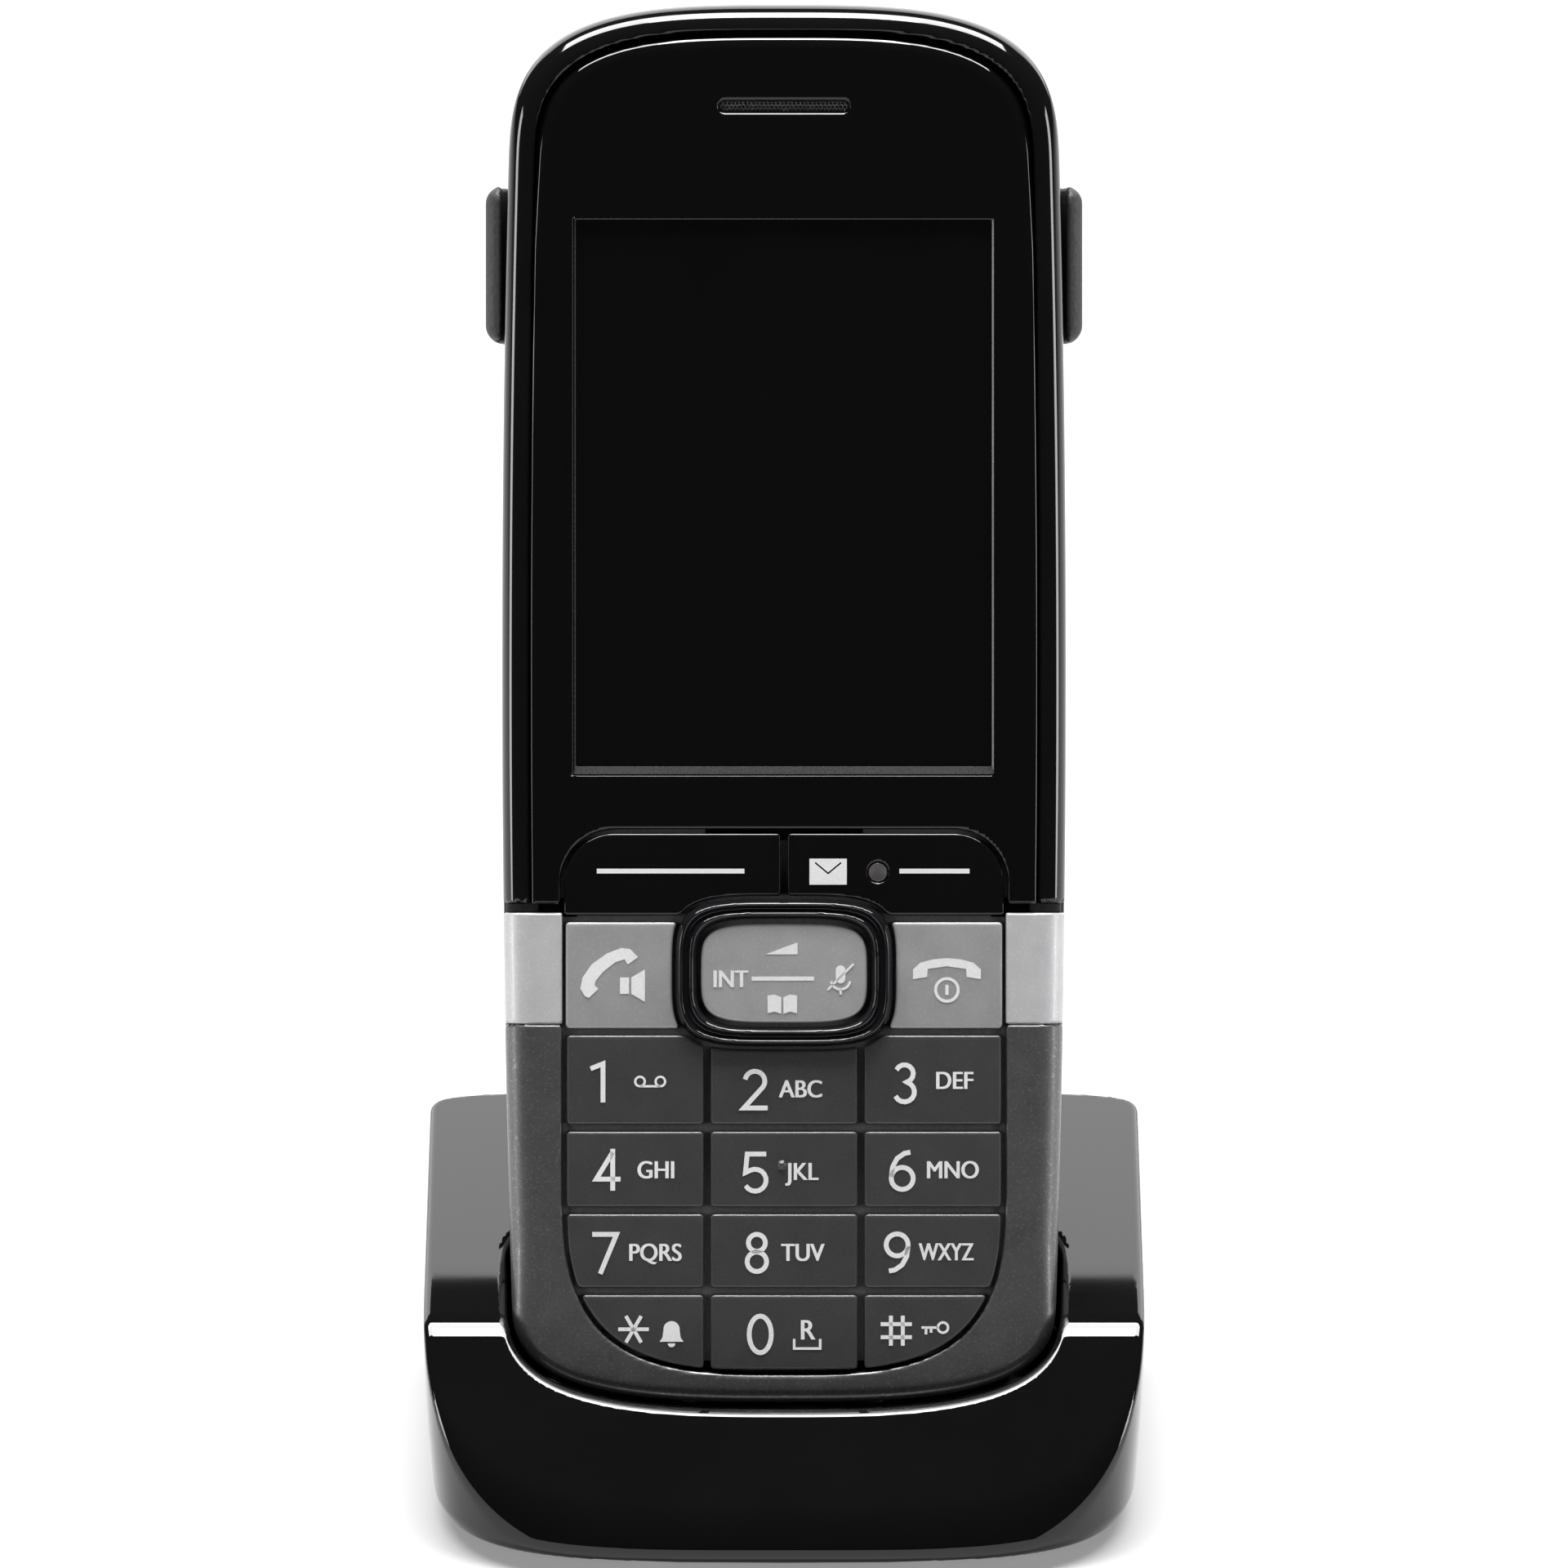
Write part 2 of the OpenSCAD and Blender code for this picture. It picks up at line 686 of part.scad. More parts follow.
module number_key(k) {
    row = floor(k / 3);
    x = column(k % 3);
    c = key_centre(k);
    color("dimgray") on_handset() {
        difference() {
            intersection() {
                box(x, [row_y[row], row_top[row]], [cap_z, hs_thick]);
                pad_prism(rim_gap, cap_z, hs_thick, 60);
            }
            nav_prism(nav_outer, 0, 20, -rim_gap);
        }
        translate([c[0], c[1], stem_z]) cylinder(r = stem_r, h = cap_z - stem_z + 0.5, $fn = 32);
    }
}

module call_key(side) {
    x0 = mid_half - 1;
    x1 = pad_half - rim_gap;
    color("silver") on_handset() {
        difference() {
            box(side > 0 ? [x0, x1] : [-x1, -x0], call_y, [cap_z, hs_thick]);
            nav_prism(nav_outer, 0, 20, -rim_gap);
        }
        translate([side * call_x, 37.8, stem_z]) cylinder(r = stem_r, h = cap_z - stem_z + 0.5, $fn = 32);
    }
}

module soft_key(side) {
    x0 = key_gap / 2;
    light = side > 0;
    color("black") on_handset() difference() {
        union() {
            intersection() {
                box(side > 0 ? [x0, 30] : [-30, -x0], soft_y, [cap_z, hs_thick]);
                soft_cutout(-rim_gap / 2, 0, 20);
            }
            translate([side * soft_x, 47.8, stem_z])
                cylinder(r = stem_r, h = cap_z - stem_z + 0.5, $fn = 32);
        }
        nav_prism(nav_outer, 0, 20, -rim_gap);
        if (light) translate([8.3, 46.9, stem_z - 1]) cylinder(r = 0.9, h = 9, $fn = 32);
    }
}

module message_light() {
    color("darkred") on_handset() translate([8.3, 46.9, cap_z])
        cylinder(r = 0.85, h = hs_thick - cap_z, $fn = 32);
}

module nav_ring() {
    color("black") on_handset() difference() {
        union() {
            nav_prism(nav_outer, plate_z + plate_t + 0.05, hs_thick + 0.2);
            nav_prism(nav_outer, 14, nav_top, 0.6);
        }
        nav_prism(nav_inner, 0, 20);
    }
}

// The plate rocks sideways on the carrier and the carrier rocks up and down on the actuator.
module nav_key() {
    color("silver") on_handset() {
        nav_prism(nav_plate, rock_z[1] + 0.05, hs_thick + 0.4);
        at_each([[-rock_x, nav_y], [rock_x, nav_y]], stem_z + 0.15) cylinder(r = 0.8, h = 3.8, $fn = 32);
    }
}

module nav_carrier() {
    color("gray") on_handset() {
        box([-1.4, 1.4], [nav_y - 3.2, nav_y + 3.2], [rock_z[0] + 0.05, rock_z[1] - 0.05]);
        at_each([[0, nav_y - rock_y], [0, nav_y + rock_y]], stem_z + 0.15)
            cylinder(r = 0.7, h = 3, $fn = 32);
    }
}

module nav_actuator() {
    top = rock_z[0] - 0.05;
    color("whitesmoke") on_handset() {
        translate([0, nav_y, stem_z + 0.05]) cylinder(r = 1.3, h = top - stem_z - 0.1, $fn = 32);
        box([-2.8, 2.8], [nav_y - 1.4, nav_y + 1.4], [top - 1, top]);
    }
}

cradle_shell();
cradle_base_plate();
cradle_feet();
cradle_screws();
cradle_circuit_board();
power_socket();
ballast_weights();
contact_pin(-1);  // contact_pin_left
contact_pin(1);  // contact_pin_right
rear_housing();
upper_bezel();
keypad_frame();
silver_band(-1);  // silver_band_left
silver_band(1);  // silver_band_right
display_window();
display_module();
display_gasket();
earpiece_mesh();
earpiece_speaker();
chassis();
key_mat();
dome_switches();
main_board();
loudspeaker();
vibration_motor();
microphone();
antenna();
battery();
battery_contacts();
charging_contacts();
usb_socket();
housing_screws();
battery_cover();
nav_ring();
nav_key();
nav_carrier();
nav_actuator();
soft_key(-1);  // soft_key_left
soft_key(1);  // soft_key_right
message_light();
call_key(-1);  // talk_key
call_key(1);  // end_key
belt_clip_frame();
belt_clip_tongue();
for (k = [0:11]) number_key(k);
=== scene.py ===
import json
from itertools import product

import bmesh
import bpy
import numpy as np
from mathutils import Matrix, Vector


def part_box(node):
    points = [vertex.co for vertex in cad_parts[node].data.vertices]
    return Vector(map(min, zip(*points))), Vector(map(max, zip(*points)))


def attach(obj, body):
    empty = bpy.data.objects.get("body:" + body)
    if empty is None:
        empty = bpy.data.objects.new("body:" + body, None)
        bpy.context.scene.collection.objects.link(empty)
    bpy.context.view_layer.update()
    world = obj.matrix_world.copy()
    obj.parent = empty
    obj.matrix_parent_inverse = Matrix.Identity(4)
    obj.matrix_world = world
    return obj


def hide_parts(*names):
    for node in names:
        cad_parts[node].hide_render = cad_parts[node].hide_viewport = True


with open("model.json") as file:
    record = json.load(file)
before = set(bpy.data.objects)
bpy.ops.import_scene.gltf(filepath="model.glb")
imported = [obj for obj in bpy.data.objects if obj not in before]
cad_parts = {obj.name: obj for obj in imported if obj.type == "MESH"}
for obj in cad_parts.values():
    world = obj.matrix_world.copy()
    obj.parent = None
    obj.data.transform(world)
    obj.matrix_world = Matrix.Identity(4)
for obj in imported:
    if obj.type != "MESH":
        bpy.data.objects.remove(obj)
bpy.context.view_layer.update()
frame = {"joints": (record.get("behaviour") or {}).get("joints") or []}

scene = bpy.context.scene
joints = {joint["name"]: joint for joint in frame["joints"]}


# ---- The desk, the light and the camera -------------------------------------------------------
# A pale desk under a long softbox overhead, with a bright wall of light behind and a strip at each
# side. Two fills in front light the paint but don't mirror in the gloss, so black faces stay black.
MM = 0.001
LEAN_UP = Vector(joints["handset_lift"]["axis"])
FACE_OUT = -Vector(joints["nav_press"]["axis"])
COVER_HOOK = 20.0
HANDSET_FOOT = Vector(joints["battery_cover_open"]["pos_m"]) - LEAN_UP * COVER_HOOK * MM
HANDSET_PLACE = Matrix.Translation(HANDSET_FOOT) @ Matrix((
    (1, 0, 0, 0),
    (0, LEAN_UP.y, FACE_OUT.y, 0),
    (0, LEAN_UP.z, FACE_OUT.z, 0),
    (0, 0, 0, 1))) @ Matrix.Scale(MM, 4)

VIEW_WIDTH = 138.6
VIEW_CENTRE = 54.7
FACE_LEVEL = 14.5
CAMERA_AWAY = 1.5
SENSOR = 36
camera_data = bpy.data.cameras.new("camera")
camera_data.sensor_width = SENSOR
camera_data.lens = SENSOR * CAMERA_AWAY / (VIEW_WIDTH * MM)
camera_data.clip_start = 0.05
camera = bpy.data.objects.new("camera", camera_data)
aim = HANDSET_PLACE @ Vector((0, VIEW_CENTRE, FACE_LEVEL))
camera.matrix_world = Matrix.Translation(aim + FACE_OUT * CAMERA_AWAY) @ Matrix((
    (1, 0, 0, 0),
    (0, LEAN_UP.y, FACE_OUT.y, 0),
    (0, LEAN_UP.z, FACE_OUT.z, 0),
    (0, 0, 0, 1)))
scene.collection.objects.link(camera)
scene.camera = camera
scene.view_settings.view_transform = "Standard"


def softbox(name, place, towards, width, height, glow):
    """A rectangular light of even brightness glow, facing a point."""
    data = bpy.data.lights.new(name, "AREA")
    data.shape = "RECTANGLE"
    data.size, data.size_y = width, height
    data.energy = glow * np.pi * width * height
    lamp = bpy.data.objects.new(name, data)
    aim_line = Vector(towards) - Vector(place)
    lamp.rotation_euler = aim_line.to_track_quat("-Z", "Y").to_euler()
    lamp.location = place
    lamp.visible_camera = False
    scene.collection.objects.link(lamp)
    return lamp


EDGE_OF_WALL = 1.934
WALL_LOW = 0.15
WALL_BACK = 2.0
OVERHEAD_BACK, OVERHEAD_UP = 0.24, 1.3
STRIP_OUT, STRIP_AHEAD = 1.3, -0.02
FILL_PLACE = (0.62, -1.7, 0.7)
wall_middle = (EDGE_OF_WALL + WALL_LOW) / 2
softbox("back_wall", (0, WALL_BACK, wall_middle), (0, 0, wall_middle), 4.0, EDGE_OF_WALL - WALL_LOW, 2.5)
softbox("overhead", (0, OVERHEAD_BACK, OVERHEAD_UP), (0, OVERHEAD_BACK, 0), 1.6, 0.5, 20)
softbox("overhead_key", (0, 0.1, 1.2), (0, 0, 0), 0.3, 0.3, 22)
for side in (-1, 1):
    softbox("side_strip", (STRIP_OUT * side, STRIP_AHEAD, 0.24), (0, STRIP_AHEAD, 0.1), 0.24, 0.44, 9)
    fill = softbox("front_fill", (side * FILL_PLACE[0], *FILL_PLACE[1:]), (0, 0, 0.06), 0.45, 0.45, 6.5)
    fill.visible_glossy = False


class Wire:
    """A shader socket that sums can be written with."""

    def __init__(self, paint, socket):
        self.paint, self.socket = paint, socket

    def sum(self, kind, first, second):
        return self.paint.node("Math", {"operation": kind}, first, second)

    def __add__(self, other):
        return self.sum("ADD", self, other)

    def __radd__(self, other):
        return self.sum("ADD", other, self)

    def __sub__(self, other):
        return self.sum("SUBTRACT", self, other)

    def __rsub__(self, other):
        return self.sum("SUBTRACT", other, self)

    def __mul__(self, other):
        return self.sum("MULTIPLY", self, other)

    def __rmul__(self, other):
        return self.sum("MULTIPLY", other, self)

    def __gt__(self, other):
        return self.sum("GREATER_THAN", self, other)

    def __lt__(self, other):
        return self.sum("LESS_THAN", self, other)


class Paint:
    """A material in the making: even values go on its shader, and what varies is wired to it."""

    def __init__(self, name, color, rough, **even):
        self.material = bpy.data.materials.new(name)
        self.material.use_nodes = True
        self.tree = self.material.node_tree
        self.shader = self.tree.nodes["Principled BSDF"]
        self.color = color
        self.shader.inputs["Base Color"].default_value = (*color, 1)
        self.shader.inputs["Roughness"].default_value = rough
        self.material.diffuse_color = (*color, 1)
        for socket, value in even.items():
            self.shader.inputs[socket.replace("_", " ")].default_value = value

    def node(self, kind, settings, *values, out=0, **named):
        node = self.tree.nodes.new("ShaderNode" + kind)
        for key, value in settings.items():
            setattr(node, key, value)
        for key, value in [*enumerate(values), *named.items()]:
            socket = node.inputs[key.replace("_", " ") if isinstance(key, str) else key]
            if isinstance(value, Wire):
                self.tree.links.new(value.socket, socket)
            else:
                socket.default_value = value
        return Wire(self, node.outputs[out])

    def feed(self, socket, wire):
        self.tree.links.new(wire.socket, self.shader.inputs[socket])

    def place(self, stretch=(1, 1, 1)):
        """Where a point is on the piece, in millimetres."""
        spot = self.node("TexCoord", {}, out=3)
        return self.node("VectorMath", {"operation": "MULTIPLY"}, spot, [1000 * s for s in stretch])

    def noise(self, per_mm, detail=3.0, stretch=(1, 1, 1)):
        return self.node("TexNoise", {}, self.place(stretch), Scale=per_mm, Detail=detail)

    def shade(self, amount, dark, light):
        """The paint's own colour, from dark times it to light times it as amount goes from 0 to 1."""
        low = (*[c * dark for c in self.color], 1)
        high = (*[min(c * light, 1) for c in self.color], 1)
        mixed = self.node("Mix", {"data_type": "RGBA"}, out=2, Factor=amount)
        mix = mixed.socket.node
        mix.inputs[6].default_value, mix.inputs[7].default_value = low, high
        return mixed

    def bump(self, height, depth):
        """Raises the surface by depth millimetres where height is 1."""
        self.feed("Normal", self.node("Bump", {}, Height=height, Distance=depth * MM, Strength=1.0))


def desk_paint():
    paint = Paint("pale_desk", (0.34, 0.34, 0.34), 0.6)
    paint.feed("Roughness", 0.55 + 0.1 * paint.noise(0.05))
    paint.shader.inputs["Emission Color"].default_value = (1, 1, 1, 1)
    paint.shader.inputs["Emission Strength"].default_value = 0.25
    return paint.material


world = bpy.data.worlds.new("studio")
scene.world = world
world.use_nodes = True
sky = world.node_tree.nodes["Background"]
sky.inputs["Strength"].default_value = 0.03
sky.inputs["Color"].default_value = (1, 1, 1, 1)

DESK_REACH = 12
desk_mesh = bpy.data.meshes.new("desk")
desk_mesh.from_pydata(
    [(x * DESK_REACH, y * DESK_REACH, 0) for x, y in ((-1, -1), (1, -1), (1, 1), (-1, 1))], [],
    [(0, 1, 2, 3)])
desk = bpy.data.objects.new("desk", desk_mesh)
desk_mesh.materials.append(desk_paint())
scene.collection.objects.link(desk)


# ---- Cradle shell -----------------------------------------------------------------------------
# The open charging cradle: one gloss black moulding, 2 mm thick, with a notch that the handset
# leans back in. Its top rises gently to the rear, and its apron falls steeply to the front.
def rounded(a, b, radius):
    """The part of space inside both a and b, with the edge between them rounded."""
    reach = np.hypot(np.maximum(a + radius, 0), np.maximum(b + radius, 0))
    return np.minimum(np.maximum(a, b), -radius) + reach


def flattened(u, v, power):
    """How far a point is outside a flattened ellipse, as a share of its size, and how fast that grows."""
    u, v = np.abs(u), np.abs(v)
    size = np.maximum((u ** power + v ** power) ** (1 / power), 1e-6)
    return size, (u / size) ** (power - 1), (v / size) ** (power - 1)


def end_distance(x, y, half, depth, power):
    """Distance outside a straight-sided strip that ends in a flattened half ellipse below y = 0."""
    size, du, dv = flattened(x / half, np.minimum(y, 0) / depth, power)
    return (size - 1) / np.hypot(du / half, dv / depth)


def mesh_of(field, low, high, step, turns=6):
    """The surface where field(x, y, z) is 0, as points and faces on a grid of that step."""
    axes = [np.arange(a - 1.5 * step, b + 2.5 * step, step) for a, b in zip(low, high)]
    inside = field(*np.meshgrid(*axes, indexing="ij")) < 0
    count = [n - 1 for n in inside.shape]
    corners = [inside[i:count[0] + i, j:count[1] + j, k:count[2] + k]
               for i, j, k in product((0, 1), repeat=3)]
    filled = sum(corner.astype(np.int8) for corner in corners)
    cells = np.argwhere((filled > 0) & (filled < 8))
    number = np.full(count, -1)
    number[tuple(cells.T)] = np.arange(len(cells))
    points = np.stack([axes[a][cells[:, a]] + step / 2 for a in range(3)], 1)
    faces = []
    for a in range(3):
        b, c = (a + 1) % 3, (a + 2) % 3
        here = np.take(inside, range(count[a]), a)
        beyond = np.take(inside, range(1, count[a] + 1), a)
        edge = np.argwhere(here != beyond)
        edge = edge[(edge[:, b] > 0) & (edge[:, c] > 0) & (edge[:, b] < count[b]) & (edge[:, c] < count[c])]
        goes_out = here[tuple(edge.T)]
        ring = []
        for back_b, back_c in ((1, 1), (0, 1), (0, 0), (1, 0)):
            cell = edge.copy()
            cell[:, b] -= back_b
            cell[:, c] -= back_c
            ring.append(number[tuple(cell.T)])
        quad = np.stack(ring, 1)
        faces.append(np.where(goes_out[:, None], quad, quad[:, ::-1]))
    faces = np.concatenate(faces)
    for turn in range(turns):
        if turn in (1, 3):
            total = np.zeros_like(points)
            share = np.zeros(len(points))
            for k in range(4):
                np.add.at(total, faces[:, k], points[faces[:, (k + 1) % 4]] + points[faces[:, k - 1]])
                np.add.at(share, faces[:, k], 2)
            points = 0.5 * points + 0.5 * total / np.maximum(share, 1)[:, None]
        value, slope = slope_of(field, points)
        shift = value[:, None] * slope / np.maximum((slope ** 2).sum(1), 0.05)[:, None]
        size = np.maximum(np.linalg.norm(shift, axis=1), 1e-9)
        points = points - shift * np.minimum(1, 0.7 * step / size)[:, None]
    slope = slope_of(field, points)[1]
    return points, faces, slope / np.maximum(np.linalg.norm(slope, axis=1), 1e-6)[:, None]


def slope_of(field, points, nudge=0.01):
    """A field's values at points, and how it grows there along each axis."""
    value = field(*points.T)
    slope = []
    for a in range(3):
        ahead, behind = points.copy(), points.copy()
        ahead[:, a] += nudge
        behind[:, a] -= nudge
        slope.append((field(*ahead.T) - field(*behind.T)) / (2 * nudge))
    return value, np.stack(slope, 1)


def moulding(name, field, low, high, step, material, body, node=None, place=HANDSET_PLACE):
    """Makes a moulded piece from its field, in millimetres, and fixes it to a body."""
    points, faces, facing = mesh_of(field, low, high, step)
    mesh = bpy.data.meshes.new(name)
    turn = np.array(place)
    points = points @ turn[:3, :3].T + turn[:3, 3]
    facing = facing @ turn[:3, :3].T / MM
    mesh.vertices.add(len(points))
    mesh.vertices.foreach_set("co", points.astype(np.float32).ravel())
    mesh.loops.add(faces.size)
    mesh.loops.foreach_set("vertex_index", faces.ravel().astype(np.int32))
    mesh.polygons.add(len(faces))
    mesh.polygons.foreach_set("loop_start", np.arange(0, faces.size, 4, dtype=np.int32))
    mesh.update(calc_edges=True)
    mesh.polygons.foreach_set("use_smooth", np.ones(len(faces), bool))
    mesh.normals_split_custom_set_from_vertices(facing)
    settle(name, mesh, material, body, node)


def settle(name, mesh, material, body, node=None):
    """Puts a mesh in the scene with its paint, on its body and in place of its CAD part."""
    piece = bpy.data.objects.new(name, mesh)
    mesh.materials.clear()
    mesh.materials.append(material)
    scene.collection.objects.link(piece)
    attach(piece, body)
    if node:
        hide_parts(node)


def gloss_paint(name, color, rough, peel=0.0006, **even):
    """Polished moulded plastic: faint flow lines in the polish, fine dust and hairline wear."""
    paint = Paint(name, color, rough, **even)
    flow = paint.noise(0.12, 2.0)
    dust = paint.noise(9.0, 2.0)
    hairline = paint.noise(0.8, 4.0, (1, 14, 1))
    worn = (hairline > 0.7) * 0.03
    paint.feed("Roughness", rough + 0.012 * flow + 0.012 * dust + worn)
    paint.feed("Base Color", paint.shade(flow * 0.7 + dust * 0.3, 0.75, 1.3))
    paint.bump(flow * 0.6 + paint.noise(1.1, 1.0) * 0.4, peel)
    return paint.material


CRADLE_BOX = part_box("cradle_shell")
CRADLE_PLACE = Matrix.Translation((0, CRADLE_BOX[0].y, 0)) @ Matrix.Scale(MM, 4)
CRADLE_HALF = (CRADLE_BOX[1].x - CRADLE_BOX[0].x) / 2 / MM
CRADLE_DEPTH = (CRADLE_BOX[1].y - CRADLE_BOX[0].y) / MM
CRADLE_TOP = CRADLE_BOX[1].z / MM
CRADLE_FLOOR = CRADLE_BOX[0].z / MM
WING_SLOPE = 0.1584
WING_CROWN = 0.00055
APRON_SLOPE = np.radians(40)
RIDGE_BACK = 39.4
FRONT_DEEP, FRONT_POWER = 24, 3.7
REAR_DEEP, REAR_POWER = 4, 4.5
TAPER_TOP, TAPER_IN = 16, 0.9
SIDE_ROUND, CORNER_ROUND = 0.7, 3.3
RIDGE_ROUND, RIM_ROUND, FLOOR_ROUND = 0.8, 0.7, 2.0
CRADLE_WALL = 2.0
BASE_RIM = 1.4
SEAT = HANDSET_FOOT / MM - Vector((0, CRADLE_BOX[0].y / MM, 0))
HOUSING_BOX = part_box("rear_housing")
HANDSET_HALF = (HOUSING_BOX[1].x - HOUSING_BOX[0].x) / 2 / MM
HANDSET_WAIST, HANDSET_TAPER = 65, 0.041
HANDSET_REACH = 60
FOOT_DEEP, FOOT_POWER = 9, 3.0
NOTCH_GAP, BACK_GAP = 0.45, 0.35
HANDSET_BACK_ROUND = 5.5
INLET = ((-5.2, 5.2), (3.6, 11.6))
PIN_AT, PIN_HOLE = (8, 6.3), 1.3


def on_lean(x, y, z):
    """Turns cradle places into the leaning handset's own: across, along and out of its face."""
    y, z = y - SEAT.y, z - SEAT.z
    return x, y * LEAN_UP.y + z * LEAN_UP.z, y * FACE_OUT.y + z * FACE_OUT.z


def cradle_plan(x, y, z, inset=0.0):
    """Distance outside the cradle's walls, which draw in a little towards the desk."""
    half = CRADLE_HALF - inset - TAPER_IN * (np.maximum(TAPER_TOP - z, 0) / (TAPER_TOP - 1)) ** 1.7
    front = end_distance(x, y - FRONT_DEEP, half, FRONT_DEEP - inset, FRONT_POWER)
    rear = end_distance(x, CRADLE_DEPTH - REAR_DEEP - y, half, REAR_DEEP - inset, REAR_POWER)
    return np.maximum(front, rear)


def cradle_outer(x, y, z):
    """The cradle as one solid lump: walls, gently crowned wings and steep apron."""
    back = np.maximum(CRADLE_DEPTH - y, 0)
    wing = z - CRADLE_TOP + WING_SLOPE * back + WING_CROWN * back ** 2
    ridge_z = CRADLE_TOP - WING_SLOPE * RIDGE_BACK - WING_CROWN * RIDGE_BACK ** 2
    from_ridge = CRADLE_DEPTH - RIDGE_BACK - y
    apron = (z - ridge_z + from_ridge * np.tan(APRON_SLOPE)) * np.cos(APRON_SLOPE)
    edge = SIDE_ROUND + (CORNER_ROUND - SIDE_ROUND) * np.clip((11 - y) / 10, 0, 1)
    top = rounded(wing, apron, RIDGE_ROUND)
    return rounded(top, cradle_plan(x, y, z), edge)


def notch(x, y, z):
    """The space kept free for the handset's foot and back."""
    across, along, out = on_lean(x, y, z)
    half = (HANDSET_HALF + NOTCH_GAP) * (1 - HANDSET_TAPER * ((along - HANDSET_WAIST) / HANDSET_REACH) ** 2)
    low_end = end_distance(across, along - FOOT_DEEP, half, FOOT_DEEP + NOTCH_GAP, FOOT_POWER)
    return rounded(low_end, -(out + BACK_GAP), HANDSET_BACK_ROUND)


def cradle_shell(x, y, z):
    outer, hole = cradle_outer(x, y, z), notch(x, y, z)
    solid = rounded(outer, -hole, RIM_ROUND)
    hollow = np.maximum(np.maximum(outer, -hole) + CRADLE_WALL, -(hole - CRADLE_WALL))
    solid = np.maximum(solid, -hollow)
    solid = rounded(solid, CRADLE_FLOOR - z, FLOOR_ROUND)
    recess = np.maximum(cradle_plan(x, y, z, BASE_RIM), z - CRADLE_FLOOR - BASE_RIM)
    solid = np.maximum(solid, -recess)
    (left, right), (low, high) = INLET
    inlet = rounded(np.maximum(left - x, x - right), np.maximum(low - z, z - high), 0.6)
    solid = rounded(solid, -np.maximum(inlet, CRADLE_DEPTH - 6 - y), 0.4)
    across, along, out = on_lean(x, y, z)
    for side in (-1, 1):
        guard = np.maximum(np.abs(across - side * PIN_AT[0]) - 2.6, np.abs(out - PIN_AT[1] - 3) - 0.8)
        solid = np.minimum(solid, np.maximum(guard, np.maximum(along + 0.1, -1.5 - along)))
        pin = np.hypot(across - side * PIN_AT[0], out - PIN_AT[1]) - PIN_HOLE
        solid = np.maximum(solid, -np.maximum(pin, along - 1))
    return solid


cradle_black = gloss_paint("cradle_black", (0.003, 0.003, 0.0031), 0.015, 0.0002)
moulding("cradle_shell_moulding", cradle_shell, (-CRADLE_HALF, 0, CRADLE_FLOOR),
         (CRADLE_HALF, CRADLE_DEPTH, CRADLE_TOP), 0.34, cradle_black, "cradle",
         "cradle_shell", CRADLE_PLACE)


# ---- Cradle base, feet, screws and insides ----------------------------------------------------
# A grained base plate is screwed up into the shell, on four rubber feet. Over it are the board
# with the charging circuit, the power jack and two iron weights that steady the cradle.
def grained_paint(name, color, rough, grain=0.012, per_mm=3.2, **even):
    """Spark-eroded plastic or rubber: a fine even grain, rubbed a little shinier in places."""
    paint = Paint(name, color, rough, **even)
    pits = paint.node("TexVoronoi", {}, paint.place(), Scale=per_mm)
    rubbed = paint.noise(0.09, 3.0)
    paint.feed("Roughness", rough - 0.12 * rubbed + 0.12 * pits)
    paint.feed("Base Color", paint.shade(0.5 * pits + 0.6 * rubbed, 0.7, 1.35))
    paint.bump(pits, grain)
    return paint.material


def metal_paint(name, color, rough, brush=(1, 9, 1), **even):
    """Plated or bare metal: fine drawn lines and slight staining."""
    paint = Paint(name, color, rough, Metallic=1.0, **even)
    lines = paint.noise(1.6, 4.0, brush)
    stain = paint.noise(0.25, 3.0)
    paint.feed("Roughness", rough + 0.22 * lines - 0.08)
    paint.feed("Base Color", paint.shade(0.6 * lines + 0.4 * stain, 0.72, 1.15))
    paint.bump(lines, 0.002)
    return paint.material


def board_paint():
    """Solder mask over copper tracks, with a few bare pads."""
    paint = Paint("board_green", (0.02, 0.10, 0.045), 0.32)
    track = paint.node("TexVoronoi", {"distance": "MANHATTAN", "feature": "F1"}, paint.place(), Scale=0.55)
    copper = (track > 0.62) * (track < 0.8)
    pad = track < 0.16
    paint.feed("Base Color", paint.shade(0.35 + 0.65 * copper + 0.2 * paint.noise(0.4), 0.6, 1.8))
    paint.feed("Metallic", 0.85 * pad)
    paint.feed("Roughness", 0.34 - 0.1 * pad + 0.08 * paint.noise(2.0))
    paint.bump(copper, 0.03)
    return paint.material


def dress(material, *nodes):
    """Gives CAD parts their finish."""
    for node in nodes:
        for surface in bpy.data.objects[node].material_slots:
            surface.material = material


board_green = board_paint()
contact_metal = metal_paint("contact_metal", (0.83, 0.66, 0.36), 0.24, (1, 1, 6))
screw_steel = metal_paint("screw_steel", (0.62, 0.62, 0.60), 0.34, (1, 1, 1))
dress(grained_paint("base_plastic", (0.022, 0.022, 0.024), 0.58), "cradle_base_plate")
dress(grained_paint("foot_rubber", (0.045, 0.045, 0.046), 0.86, 0.02, 2.0), "cradle_feet")
dress(grained_paint("socket_black", (0.03, 0.03, 0.03), 0.5, 0.006, 5.0), "power_socket")
dress(metal_paint("ballast_iron", (0.30, 0.29, 0.28), 0.55, (1, 1, 1)), "ballast_weights")
dress(board_green, "cradle_circuit_board", "main_board")
dress(screw_steel, "cradle_screws", "housing_screws")
dress(contact_metal, "contact_pin_left", "contact_pin_right", "charging_contacts", "battery_contacts",
      "antenna", "microphone")


